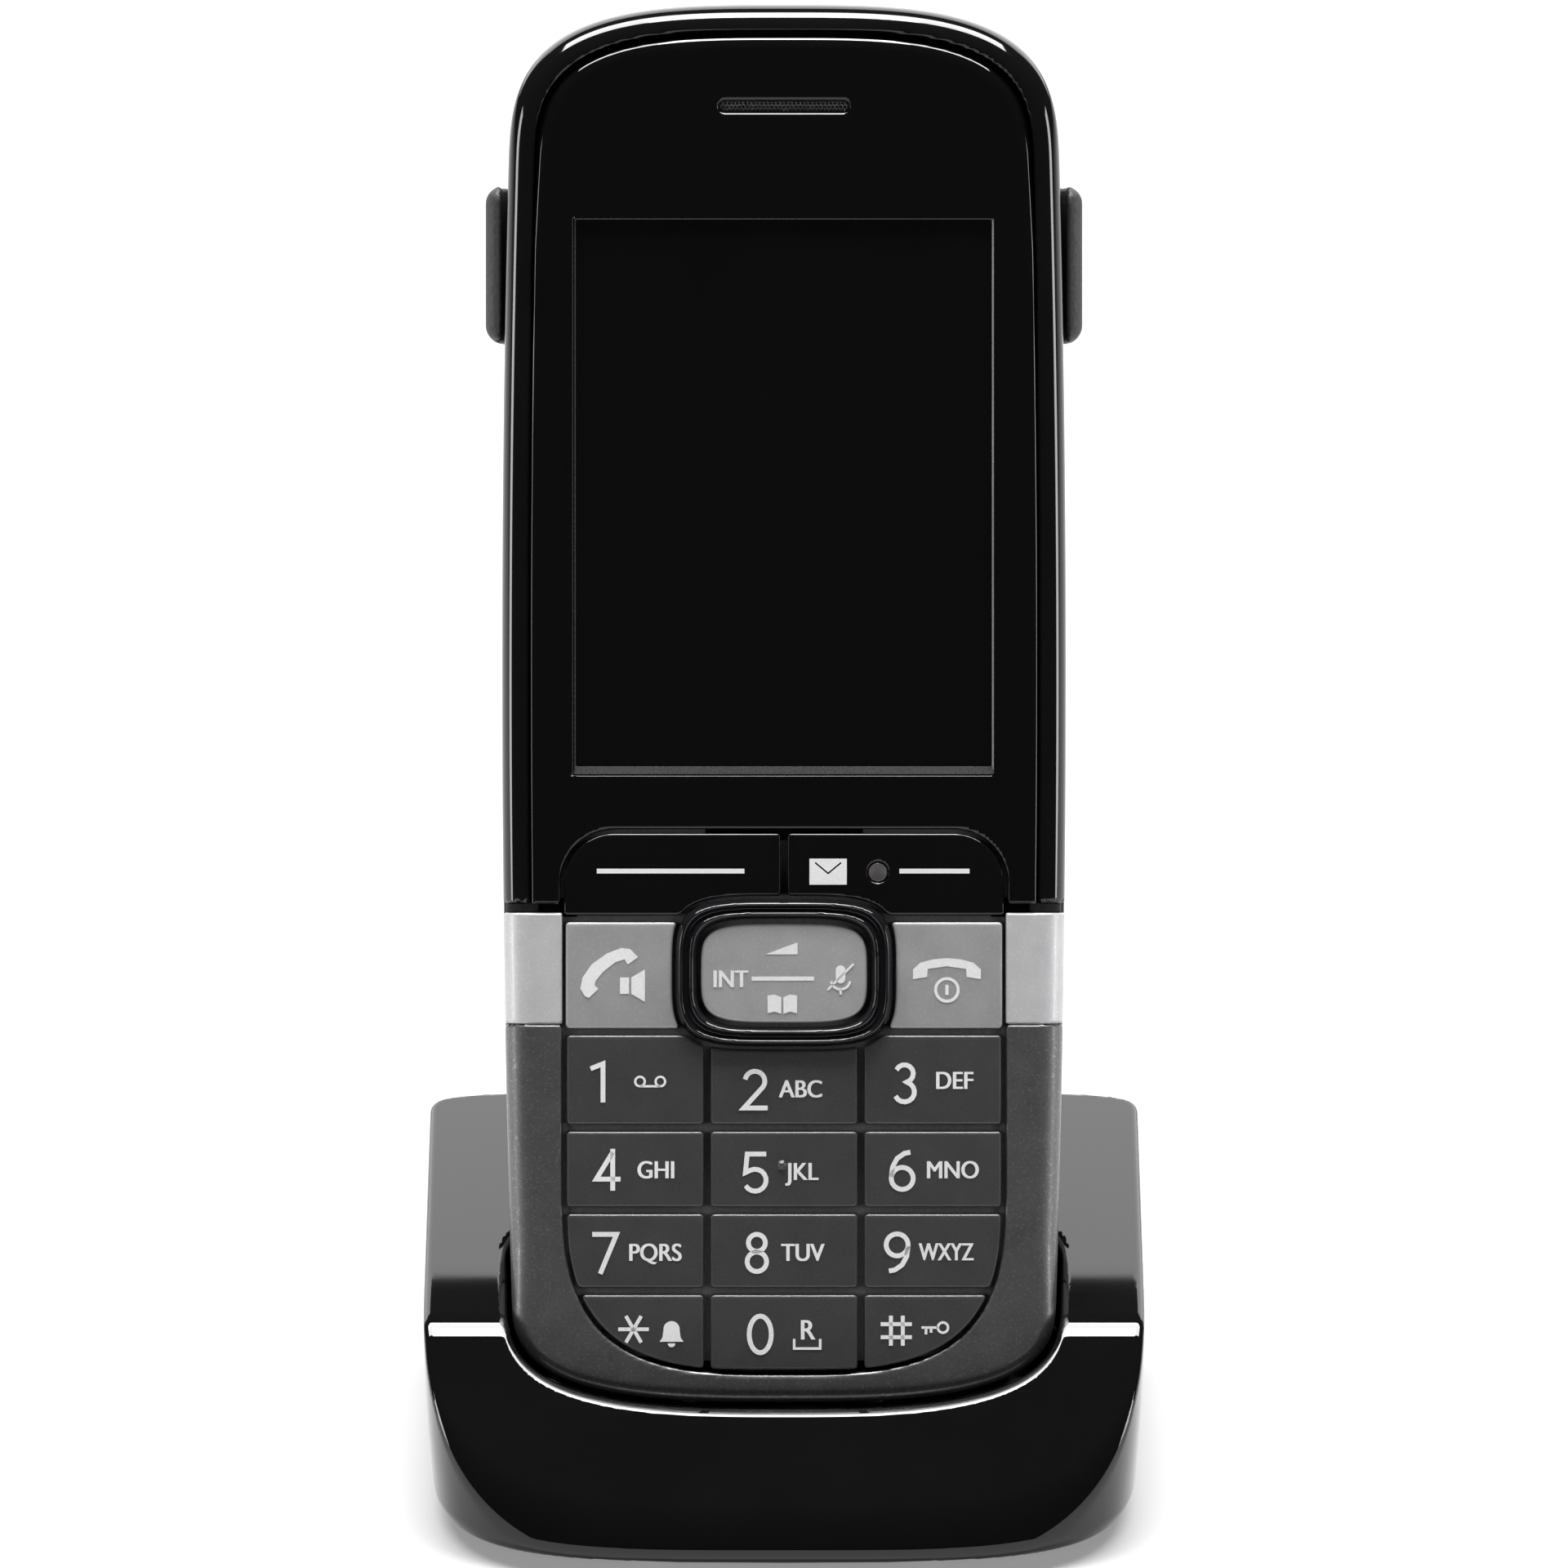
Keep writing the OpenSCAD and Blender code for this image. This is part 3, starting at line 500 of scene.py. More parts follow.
# ---- Rear housing -----------------------------------------------------------------------------
# The back half of the handset: a satin black shell 1.6 mm thick. It holds the battery tray, and is
# pierced for the loudspeaker, the two charging contacts and the service socket.
HANDSET_LENGTH = 123.7
HANDSET_FRONT = 14.4
HEAD_DEEP, HEAD_POWER = 15, 3.3
FOOT_ROUND, FRONT_ROUND = 1.3, 2.6
PART_LINE, SEAM = 8, 0.03
SIDE_WALL, BACK_WALL = 1.8, 1.6
BAY_FLOOR = 2.7
BOSS_HOLE = 1.1
BAY_HALF, BAY_LOW, BAY_HIGH = 19, 20, 58
BOSSES = [(side * 17, y) for y in (24, 54) for side in (-1, 1)]
PARTING = 0.12


def outline(x, y, inset=0.0):
    """Distance outside the handset's outline, drawn in by inset."""
    half = (HANDSET_HALF - inset) * (1 - HANDSET_TAPER * ((y - HANDSET_WAIST) / HANDSET_REACH) ** 2)
    low_end = end_distance(x, y - FOOT_DEEP, half, FOOT_DEEP - inset, FOOT_POWER)
    high_end = end_distance(x, HANDSET_LENGTH - HEAD_DEEP - y, half, HEAD_DEEP - inset, HEAD_POWER)
    return np.maximum(low_end, high_end)


def casing(x, y, z):
    """The whole closed handset, with its long edges rounded."""
    front_round = FOOT_ROUND + (FRONT_ROUND - FOOT_ROUND) * np.clip((y - 2) / 12, 0, 1)
    return rounded(rounded(outline(x, y), -z, HANDSET_BACK_ROUND), z - HANDSET_FRONT, front_round)


def block(point, *spans, soft=0.2):
    """Distance outside a box given by its low and high sides, its edges rounded."""
    reach = [np.abs(p - (low + high) / 2) - (high - low) / 2 + soft for p, (low, high) in zip(point, spans)]
    outside = np.sqrt(sum(np.maximum(r, 0) ** 2 for r in reach))
    deepest = reach[0]
    for r in reach[1:]:
        deepest = np.maximum(deepest, r)
    return outside + np.minimum(deepest, 0) - soft


def post(x, y, centre, radius):
    """Distance outside an upright round post."""
    return np.hypot(x - centre[0], y - centre[1]) - radius


def rear_housing(x, y, z):
    solid = rounded(casing(x, y, z), z - PART_LINE + SEAM, PARTING)
    hollow = rounded(outline(x, y, SIDE_WALL), BACK_WALL - z, 3.8)
    tray = block((x, y, z), (-20.2, 20.2), (16.8, 59.2), (0, 6.9))
    solid = np.maximum(solid, -np.maximum(hollow, -tray))
    bay_plan = block((x, y), (-BAY_HALF, BAY_HALF), (BAY_LOW, BAY_HIGH), soft=1.2)
    solid = rounded(solid, -np.maximum(bay_plan, z - BAY_FLOOR), 0.15)
    solid = np.maximum(solid, -block((x, y, z), (-19, 19), (18, 58), (BACK_WALL, 6.1)))
    for k in range(4):
        slot = block((x, y), (-6, 6), (61.5 + 2 * k, 62.5 + 2 * k), soft=0.49)
        solid = rounded(solid, -np.maximum(slot, z - 3), 0.15)
    for side in (-1, 1):
        contact = post(x, z, (side * PIN_AT[0], PIN_AT[1]), 1.65)
        solid = np.maximum(solid, -np.maximum(contact, y - 3.5))
    service = block((x, z), (-3.9, 3.9), (4.2, 7.2), soft=0.6)
    solid = np.maximum(solid, -np.maximum(service, y - 4))
    for boss in BOSSES:
        solid = np.maximum(solid, -post(x, y, boss, BOSS_HOLE))
    return solid


def satin_paint(name, color, rough, **even):
    """Lightly textured moulding: a soft even sheen with finger wear."""
    paint = Paint(name, color, rough, **even)
    grain = paint.noise(5.5, 2.0)
    handled = paint.noise(0.06, 4.0)
    paint.feed("Roughness", rough + 0.16 * grain - 0.2 * handled)
    paint.feed("Base Color", paint.shade(0.5 * grain + 0.5 * handled, 0.7, 1.3))
    paint.bump(grain, 0.006)
    return paint.material


case_black = satin_paint("case_black", (0.014, 0.014, 0.015), 0.36)
HANDSET_LOW, HANDSET_HIGH = (-HANDSET_HALF, 0, 0), (HANDSET_HALF, HANDSET_LENGTH, PART_LINE)
moulding("rear_housing_moulding", rear_housing, HANDSET_LOW, HANDSET_HIGH, 0.6, case_black,
         "handset", "rear_housing")


# ---- Upper bezel ------------------------------------------------------------------------------
# A gloss black hoop round the glass, above the keypad. It clips to the rear housing along a fine
# parting line, and its long sides are rolled over to a quarter round.
BEZEL_LOW = 44.2
LENS_INSET, LENS_SEAT = 2.4, 12.8
SKIRT_INSET = 3.4


def upper_bezel(x, y, z):
    seat = np.maximum(outline(x, y, LENS_INSET), LENS_SEAT - z)
    solid = rounded(casing(x, y, z), -np.minimum(seat, outline(x, y, SKIRT_INSET)), 0.22)
    solid = rounded(solid, PART_LINE + SEAM - z, PARTING)
    return rounded(solid, BEZEL_LOW - y, PARTING)


bezel_black = gloss_paint("bezel_black", (0.0035, 0.0035, 0.0036), 0.05)
moulding("upper_bezel_moulding", upper_bezel, (-HANDSET_HALF, BEZEL_LOW, PART_LINE),
         (HANDSET_HALF, HANDSET_LENGTH, HANDSET_FRONT), 0.42, bezel_black, "handset",
         "upper_bezel")


# ---- Keypad frame and silver side bands -------------------------------------------------------
# The lower front moulding is painted in graphite with a metallic flake. Two silver painted
# pieces carry the line of the call keys out to the handset's sides.
BAND_LOW, BAND_HIGH = 33.5, 43.3
PAD_HALF = 19.6
FLANGE = 11.1


def pad(x, y, inset=0.0):
    """Distance outside the keypad opening: straight sides and a flattened round bottom."""
    return end_distance(x, y - 20.2, PAD_HALF - inset, 17.7 - inset, 3.2)


def lower_front(x, y, z, low, high):
    solid = rounded(casing(x, y, z), -pad(x, y), 0.3)
    solid = rounded(solid, np.maximum(low - y, y - high), PARTING)
    solid = rounded(solid, PART_LINE + SEAM - z, PARTING)
    return np.maximum(solid, -np.maximum(outline(x, y, SKIRT_INSET), z - FLANGE))


def flake_paint(name, color, rough, sparkle, metallic=0.8, **even):
    """Sprayed metallic paint: tiny bright flakes under a thin clear coat, slightly mottled."""
    paint = Paint(name, color, rough, Metallic=metallic, **even)
    flake = paint.node("TexVoronoi", {}, paint.place(), out=1, Scale=7.0)
    glint = paint.node("SeparateColor", {}, flake)
    mottle = paint.noise(0.35, 4.0)
    bright = (glint > 0.9) * 1.0
    paint.feed("Base Color", paint.shade(0.4 * mottle + sparkle * (0.3 * glint + bright), 0.8, 1.5))
    paint.feed("Roughness", rough + 0.06 * glint - 0.1 * bright + 0.08 * mottle)
    paint.bump(0.7 * glint + 0.3 * paint.noise(1.4, 2.0), 0.004 * sparkle)
    return paint.material


graphite_paint = flake_paint("graphite_paint", (0.13, 0.13, 0.133), 0.36, 0.8, Coat_Weight=0.3)
silver_paint = flake_paint("silver_paint", (0.56, 0.56, 0.57), 0.4, 0.15, metallic=0.4, Coat_Weight=0.3)
moulding("keypad_frame_moulding", lambda x, y, z: lower_front(x, y, z, -5, BAND_LOW - 0.04),
         (-HANDSET_HALF, 0, PART_LINE), (HANDSET_HALF, BAND_LOW, HANDSET_FRONT), 0.4, graphite_paint,
         "handset", "keypad_frame")
for side, word in ((-1, "left"), (1, "right")):
    reach = sorted((side * 12, side * HANDSET_HALF))
    moulding(f"silver_band_{word}_moulding",
             lambda x, y, z: np.maximum(lower_front(x, y, z, BAND_LOW, BAND_HIGH), -side * x),
             (reach[0], BAND_LOW, PART_LINE), (reach[1], BAND_HIGH, HANDSET_FRONT), 0.3, silver_paint,
             "handset", f"silver_band_{word}")


# ---- Painted shade in the seams between the front parts ---------------------------------------
# Near-black rough strips on the skirt of the housing, and thin sheets on the keypad's flange. They
# are painted shade: dark pieces put in the seam under the bezel and behind the soft keys, where the
# gaps would only be in shadow.
SHADE_SHEET_TOP = 11.07


# Painted shade: a near-black rib set 0.4 mm down in the gap between the silver bands and the bezel.
def seam_rib(x, y, z):
    rib = np.maximum(casing(x, y, z) + 0.4, np.abs(y - (BAND_HIGH + BEZEL_LOW) / 2) - 0.43)
    return np.maximum(np.maximum(rib, PART_LINE + 0.1 - z), -outline(x, y, SKIRT_INSET - 0.2))


# Painted shade: thin near-black sheets behind the gaps at the soft keys and at the band corners.
def seam_pad(x, y, z):
    ends = block((np.abs(x), y), (18.3, 22), (42.9, 44.6), soft=0.1)
    middle = block((x, y), (-7, 7), (49.7, 51.3), soft=0.1)
    return np.maximum(np.minimum(ends, middle), np.abs(z - SHADE_SHEET_TOP + 0.03) - 0.03)


# The near-black paint of these strips and sheets is painted shade in the seams.
seam_shade_black = grained_paint("seam_shade_black", (0.006, 0.006, 0.006), 0.9, 0.004, 4.0)
moulding("seam_rib_foam", seam_rib, (-HANDSET_HALF, BAND_HIGH, PART_LINE),
         (HANDSET_HALF, BEZEL_LOW, HANDSET_FRONT), 0.25, seam_shade_black, "handset")
moulding("seam_pad_foam", seam_pad, (-22, 42.9, SHADE_SHEET_TOP - 0.06), (22, 51.3, SHADE_SHEET_TOP), 0.1, seam_shade_black,
         "handset")


# ---- Display window ---------------------------------------------------------------------------
# One sheet of hard-coated acrylic, black behind. Its rim is polished to a soft edge, the viewing
# area is sunk between fine bevels, and the earpiece slot is cut through near the top.
GLASS_BACK, GLASS_FRONT = 12.95, 14.5
GLASS_GAP = 0.1
VIEW_HALF, VIEW_LOW, VIEW_HIGH = 18.7, 55.4, 104.9
VIEW_DEEP = 0.55
TRIM_SIDE, TRIM_LOW, TRIM_DROP = 0.42, 1.05, 0.42
EAR_AT, EAR_WIDTH, EAR_HEIGHT = 114.6, 11.6, 1.1
SOFT_HIGH, SOFT_CORNER = 50.5, 4.6


def soft_cutout(x, y, grow):
    """Distance outside the window's cut-out for the soft keys, grown by grow."""
    return rounded(np.abs(x) - PAD_HALF - grow, y - SOFT_HIGH - grow, SOFT_CORNER + grow)


def display_window(x, y, z):
    rim = outline(x, y, LENS_INSET + GLASS_GAP)
    shore = np.minimum(np.minimum(VIEW_HALF - np.abs(x), VIEW_HIGH - y), y - VIEW_LOW)
    top = z - GLASS_FRONT + VIEW_DEEP * np.clip(shore / 0.1, 0, 1)
    solid = rounded(rim, top, 0.5 + np.clip((y - 102) / 12, 0, 1))
    solid = rounded(solid, -soft_cutout(x, y, 0.2), 0.25)
    slot = block((x, y - EAR_AT), (-EAR_WIDTH / 2, EAR_WIDTH / 2), (-EAR_HEIGHT / 2, EAR_HEIGHT / 2),
                 soft=0.54)
    solid = rounded(solid, -slot, 0.2)
    return np.maximum(solid, np.maximum(GLASS_BACK - z, BEZEL_LOW - 0.1 - y))


def view_trim(x, y, z):
    """A thin bevelled frame that slopes down from the glass to the viewing area."""
    sides = np.maximum(np.abs(x) - VIEW_HALF, y - VIEW_HIGH)
    outside = np.maximum(sides, VIEW_LOW - y) + 0.08
    depth = np.maximum(sides / TRIM_SIDE, (VIEW_LOW - y) / TRIM_LOW) + 1
    slope = (z - GLASS_FRONT + 0.12 + TRIM_DROP * (1 - np.clip(depth, 0, 1))) * 0.8
    behind = np.maximum(GLASS_FRONT - VIEW_DEEP + 0.02 - z, -depth * 0.4)
    return np.maximum(np.maximum(outside, slope), behind)


window_black = gloss_paint("window_black", (0.0025, 0.0025, 0.0026), 0.03, 0.0003)
trim_black = satin_paint("trim_black", (0.03, 0.03, 0.031), 0.3)
moulding("display_view_trim", view_trim, (-VIEW_HALF, VIEW_LOW, 13.95), (VIEW_HALF, VIEW_HIGH, 14.4), 0.15,
         trim_black, "handset")
moulding("display_window_glass", display_window, (-HANDSET_HALF, BEZEL_LOW - 0.1, GLASS_BACK),
         (HANDSET_HALF, HANDSET_LENGTH, GLASS_FRONT), 0.3, window_black, "handset",
         "display_window")
dress(grained_paint("display_grey", (0.05, 0.055, 0.06), 0.3, 0.002, 8.0), "display_module")
dress(grained_paint("foam_grey", (0.06, 0.06, 0.06), 0.9, 0.05, 2.5), "display_gasket")


# ---- Earpiece ---------------------------------------------------------------------------------
# A strip of etched steel, full of small holes, closes the slot in front of the receiver capsule.
HOLE_PITCH = 0.36


def earpiece_mesh(x, y, z):
    strip = block((x, y - EAR_AT), (-EAR_WIDTH / 2 + 0.1, EAR_WIDTH / 2 - 0.1), (-0.45, 0.45), soft=0.44)
    strip = np.maximum(strip, np.abs(z - 13.7) - 0.12)
    row = np.round((y - EAR_AT) / (HOLE_PITCH * 0.87))
    across = (x + 0.5 * HOLE_PITCH * row) / HOLE_PITCH
    holes = np.hypot((across - np.round(across)) * HOLE_PITCH, y - EAR_AT - row * HOLE_PITCH * 0.87) - 0.11
    return np.maximum(strip, -holes)


mesh_metal = metal_paint("mesh_metal", (0.55, 0.55, 0.55), 0.3, (1, 1, 1))
moulding("earpiece_grille", earpiece_mesh, (-EAR_WIDTH / 2, EAR_AT - 0.5, 13.55),
         (EAR_WIDTH / 2, EAR_AT + 0.5, 13.85), 0.06, mesh_metal, "handset", "earpiece_mesh")


# ---- Inside the handset -----------------------------------------------------------------------
# Small pressed and moulded parts on the chassis: speakers, motor, socket, the keypad's silicone
# mat over its metal domes, and the wrapped battery.
dress(metal_paint("speaker_metal", (0.5, 0.5, 0.5), 0.4), "earpiece_speaker", "vibration_motor",
      "usb_socket")
dress(grained_paint("speaker_black", (0.02, 0.02, 0.02), 0.7), "loudspeaker")
dress(grained_paint("chassis_grey", (0.22, 0.22, 0.23), 0.55), "chassis")
dress(grained_paint("mat_silicone", (0.02, 0.02, 0.02), 0.6, 0.004), "key_mat")
dress(metal_paint("dome_steel", (0.66, 0.66, 0.66), 0.22, (1, 1, 1)), "dome_switches")
dress(satin_paint("battery_wrap", (0.33, 0.42, 0.53), 0.42), "battery")


# ---- Number keys ------------------------------------------------------------------------------
# Twelve hard caps with softened edges, each on a round stem that presses a dome through the
# mat. They are sprayed dark graphite, and the legends are white plastic that shows through.
KEY_FRONT, CAP_BACK, STEM_BACK = 14.5, 11.5, 9.85
STEM = 1.6
RIM_GAP = 0.3
ROWS = [(24.6, 32.5), (17.3, 24), (10.15, 16.7), (2.8, 9.55)]
COLUMNS = [(-19.3, -7.1), (-6.5, 6.5), (7.1, 19.3)]
NAV_AT = 38
NAV_OUTER = (9.6, 6.5)
NAV_POWER = 4.2
KEY_STEP = 0.22


def nav(x, y, half, grow=0.0):
    """Distance outside the navigation ring's squarish oval, half as wide and as tall as given."""
    across, tall = half[0] + grow, half[1] + grow
    size, du, dv = flattened(x / across, (y - NAV_AT) / tall, NAV_POWER)
    return (size - 1) / (np.hypot(du / across, dv / tall) + 1e-9)


def key_cap(plan, stem, crown=0.05, front=KEY_FRONT, edge=0.26):
    """The field of a key: a slightly crowned cap with that plan, on a round stem."""
    def field(x, y, z):
        face = front - crown * (((x - stem[0]) / 6) ** 2 + ((y - stem[1]) / 4) ** 2)
        cap = np.maximum(rounded(plan(x, y), z - face, edge), CAP_BACK - z)
        foot = np.maximum(post(x, y, stem, STEM), np.maximum(STEM_BACK - z, z - CAP_BACK - 0.5))
        return np.minimum(cap, foot)
    return field


def number_plan(column, row):
    def plan(x, y):
        sides = block((x, y), COLUMNS[column], ROWS[row], soft=0.35)
        sides = rounded(sides, pad(x, y, RIM_GAP), 0.35)
        return rounded(sides, -nav(x, y, NAV_OUTER, RIM_GAP), 0.3) if row == 0 else sides
    return plan


def ribbon(points, width, closed=False):
    """The closed outlines of a stroke of even width along points."""
    line = np.array(points, float)
    ahead = np.roll(line, -1, 0) - line
    if not closed:
        ahead[-1] = ahead[-2]
    ahead /= np.linalg.norm(ahead, axis=1)[:, None]
    behind = np.roll(ahead, 1, 0)
    if not closed:
        behind[0] = ahead[0]
    along = ahead + behind
    along /= np.linalg.norm(along, axis=1)[:, None]
    stretch = width / 2 / np.maximum((along * ahead).sum(1), 0.4)
    off = np.stack([-along[:, 1], along[:, 0]], 1) * stretch[:, None]
    left, right = line + off, line - off
    return [left, right] if closed else [np.concatenate([left, right[::-1]])]


def arc(centre, radius, start, end, count=16):
    turn = np.radians(np.linspace(start, end, count, endpoint=(end - start) % 360 != 0))
    return [(centre[0] + radius * np.cos(t), centre[1] + radius * np.sin(t)) for t in turn]


def ring(centre, radius, width):
    return ribbon(arc(centre, radius, 0, 360, 28), width, closed=True)


INLAY = 0.09


def inlay(shape):
    """Points and faces of one raised sign: a word with its place and size, or closed outlines."""
    if isinstance(shape[0], str):
        curve = bpy.data.curves.new("sign", "FONT")
        curve.body, curve.size, curve.align_x = shape[0], shape[3], "CENTER"
        middle = shape[1:3]
    else:
        curve = bpy.data.curves.new("sign", "CURVE")
        curve.dimensions, curve.fill_mode = "2D", "BOTH"
        for loop in shape:
            spline = curve.splines.new("POLY")
            spline.points.add(len(loop) - 1)
            spline.points.foreach_set("co", [c for x, y in loop for c in (x, y, 0, 1)])
            spline.use_cyclic_u = True
        middle = (0, 0)
    curve.extrude = INLAY
    holder = bpy.data.objects.new("sign", curve)
    scene.collection.objects.link(holder)
    mesh = bpy.data.meshes.new_from_object(holder.evaluated_get(bpy.context.evaluated_depsgraph_get()))
    if isinstance(shape[0], str):
        width = 2 * max(abs(v.co.x) for v in mesh.vertices)
        mesh.transform(Matrix.Diagonal((min(WORD_NARROW, WORD_WIDTH / width), 1, 1, 1)))
    mesh.transform(Matrix.Translation((*middle, 0)))
    bpy.data.objects.remove(holder)
    return mesh


def signs(name, shapes, level, body):
    """One piece with all of a key's signs, inlaid in its face at that level."""
    grown = bmesh.new()
    for shape in shapes:
        strikes = (-STRIKE, STRIKE) if isinstance(shape[0], str) else (0,)
        for strike in strikes:
            mesh = inlay(shape)
            mesh.transform(Matrix.Translation((strike, 0, strike * 0.02)))
            grown.from_mesh(mesh)
    bmesh.ops.remove_doubles(grown, verts=grown.verts, dist=0.0005)
    mesh = bpy.data.meshes.new(name)
    grown.to_mesh(mesh)
    grown.free()
    mesh.transform(HANDSET_PLACE @ Matrix.Translation((0, 0, level + 0.025 - INLAY)))
    settle(name, mesh, legend_white, body)


legend_white = satin_paint("legend_white", (0.66, 0.66, 0.66), 0.42)
key_graphite = flake_paint("key_graphite", (0.06, 0.06, 0.062), 0.4, 0.25, metallic=0.5, Coat_Weight=0.35)
LETTER = 2.2
WORD_WIDTH, WORD_NARROW = 4.8, 0.9
STRIKE = 0.05
STROKE = 0.42
RING_POINTS = 24
DIGIT_LINES = {
    "0": [[(0.98 * np.cos(a), 1.85 + 1.62 * np.sin(a)) for a in np.radians(np.arange(0, 360, 15))]],
    "1": [[(-0.8, 2.98), (0.3, 3.42), (0.3, 0)]],
    "2": [[*arc((0, 2.58), 0.88, 170, -35, 12), (-0.98, 0.21), (1.12, 0.21)]],
    "3": [[*arc((-0.05, 2.7), 0.78, 155, -75, 10), *arc((-0.05, 1.08), 0.88, 75, -155, 11)]],
    "4": [[(1.15, 1.02), (-1.0, 1.02), (0.46, 3.4)], [(0.46, 3.7), (0.46, 0)]],
    "5": [[(1.0, 3.49), (-0.68, 3.49), (-0.84, 1.85), *arc((0.02, 1.18), 0.97, 115, -150, 14)]],
    "6": [arc((0, 1.19), 0.97, 0, 360, RING_POINTS),
          [(-0.97, 1.3), (-0.85, 2.2), (-0.45, 2.95), (0.2, 3.4), (0.72, 3.5)]],
    "7": [[(-1.15, 3.49), (1.0, 3.49), (-0.45, 0)]],
    "8": [arc((0, 2.74), 0.75, 0, 360, RING_POINTS), arc((0, 1.07), 0.86, 0, 360, RING_POINTS)],
    "9": [arc((0, 2.51), 0.97, 0, 360, RING_POINTS),
          [(0.97, 2.4), (0.85, 1.5), (0.45, 0.75), (-0.2, 0.3), (-0.72, 0.2)]],
}


def digit(sign, x, y):
    """The strokes of a number, its foot at a point."""
    lines = [[(x + px, y + py) for px, py in line] for line in DIGIT_LINES[sign]]
    return [ribbon(line, STROKE, closed=len(line) == RING_POINTS) for line in lines]


STAR_AT = (-13.3, 6.5)
star_rays = [ribbon([(STAR_AT[0] + side * 1.35 * np.cos(a), STAR_AT[1] + side * 1.35 * np.sin(a))
                     for side in (-1, 1)], 0.32) for a in np.radians((0, 60, 120))]
bell = [[(-11.0, 5.4), (-10.75, 5.75), (-10.65, 6.4), *arc((-9.94, 6.5), 0.72, 180, 0, 12), (-9.23, 6.4),
         (-9.13, 5.75), (-8.88, 5.4)]]
NUMBER_SIGNS = {
    "key_1": [*digit("1", -16.3, 26.55), ring((-12.73, 28.4), 0.42, 0.2), ring((-10.93, 28.4), 0.42, 0.2),
              ribbon([(-12.73, 27.98), (-10.93, 27.98)], 0.2)],
    "key_2": [*digit("2", -2.57, 25.85), ("ABC", 1.5, 27.0, LETTER)],
    "key_3": [*digit("3", 10.7, 26.4), ("DEF", 15.05, 27.75, LETTER)],
    "key_4": [*digit("4", -15.6, 18.75), ("GHI", -11.3, 19.85, LETTER)],
    "key_5": [*digit("5", -2.57, 18.5), ("JKL", 1.65, 19.7, LETTER)],
    "key_6": [*digit("6", 10.45, 18.65), ("MNO", 14.9, 19.85, LETTER)],
    "key_7": [*digit("7", -15.8, 11.4), ("PQRS", -11.4, 12.55, LETTER)],
    "key_8": [*digit("8", -2.4, 11.4), ("TUV", 1.65, 12.55, LETTER)],
    "key_9": [*digit("9", 10.0, 11.45), ("WXYZ", 14.35, 12.6, LETTER)],
    "key_star": [*star_rays, bell, [arc((-9.94, 5.25), 0.34, 180, 360, 8)]],
    "key_0": [*digit("0", -2.1, 4.2), ("R", 2.05, 5.6, 2.5),
              ribbon([(0.9, 5.65), (0.9, 4.8), (3.2, 4.8), (3.2, 5.65)], 0.22)],
    "key_hash": [*[ribbon([(x, 5.05), (x, 7.7)], 0.34) for x in (9.45, 10.5)],
                 *[ribbon([(8.55, y), (11.3, y)], 0.34) for y in (5.8, 6.95)],
                 ring((14.05, 6.65), 0.45, 0.22), ribbon([(12.15, 6.65), (13.6, 6.65)], 0.22),
                 ribbon([(12.55, 6.6), (12.55, 6.05)], 0.24), ribbon([(13.0, 6.6), (13.0, 6.2)], 0.24)],
}


def finger_dot(x, y, z):
    """The small raised dot that a fingertip finds the five by."""
    return np.hypot(np.hypot(x + 0.2, y - 21), z - KEY_FRONT + 0.15) - 0.4


for k, (node, shapes) in enumerate(NUMBER_SIGNS.items()):
    column, row = k % 3, k // 3
    low, high = ROWS[row]
    left, right = COLUMNS[column]
    middle = ((column - 1) * 13.18, (low + high) / 2 + (0.6 if row == 3 else 0))
    cap = key_cap(number_plan(column, row), middle)
    if node == "key_5":
        plain = cap
        cap = lambda x, y, z: np.minimum(plain(x, y, z), finger_dot(x, y, z))
    moulding(f"{node}_cap", cap, (left, low, STEM_BACK), (right, high, KEY_FRONT), KEY_STEP,
             key_graphite, node, node)
    signs(f"{node}_legend", shapes, KEY_FRONT, node)


# ---- Call keys --------------------------------------------------------------------------------
# Silver sprayed talk and end keys, one on each side of the ring, hollowed to clear it.
CALL_ROW = (33.1, 42.5)
CALL_AT, CALL_STEM = 14.6, 37.8
key_silver = flake_paint("key_silver", (0.36, 0.36, 0.365), 0.4, 0.12, metallic=0.4, Coat_Weight=0.35)
talk_signs = [
    [[(-18.0, 36.6), (-17.8, 37.6), (-17.0, 38.75), (-15.7, 39.7), (-14.4, 40.2), (-13.6, 40.1),
      (-12.9, 39.4), (-13.8, 38.75), (-14.1, 39.2), (-14.9, 38.95), (-16.0, 38.1), (-16.65, 37.3),
      (-16.75, 36.9), (-16.4, 36.6), (-17.25, 35.8), (-17.6, 35.95)]],
    [[(-14.5, 36.15), (-13.7, 36.15), (-13.7, 37.6), (-14.5, 37.6)]],
    [[(-13.5, 36.15), (-12.3, 35.45), (-12.3, 38.3), (-13.5, 37.6)]]]
half_receiver = [(0, 39.3), (1.2, 39.2), (2.35, 38.9), (3.0, 38.3), (3.0, 37.45), (1.75, 37.65),
                 (1.7, 38.35), (0, 38.6)]
end_signs = [
    [[(CALL_AT - 0.2 + x, y) for x, y in half_receiver]
     + [(CALL_AT - 0.2 - x, y) for x, y in half_receiver[-2:0:-1]]],
    ring((14.4, 36.5), 1.0, 0.26), ribbon([(14.4, 36.05), (14.4, 36.95)], 0.28)]
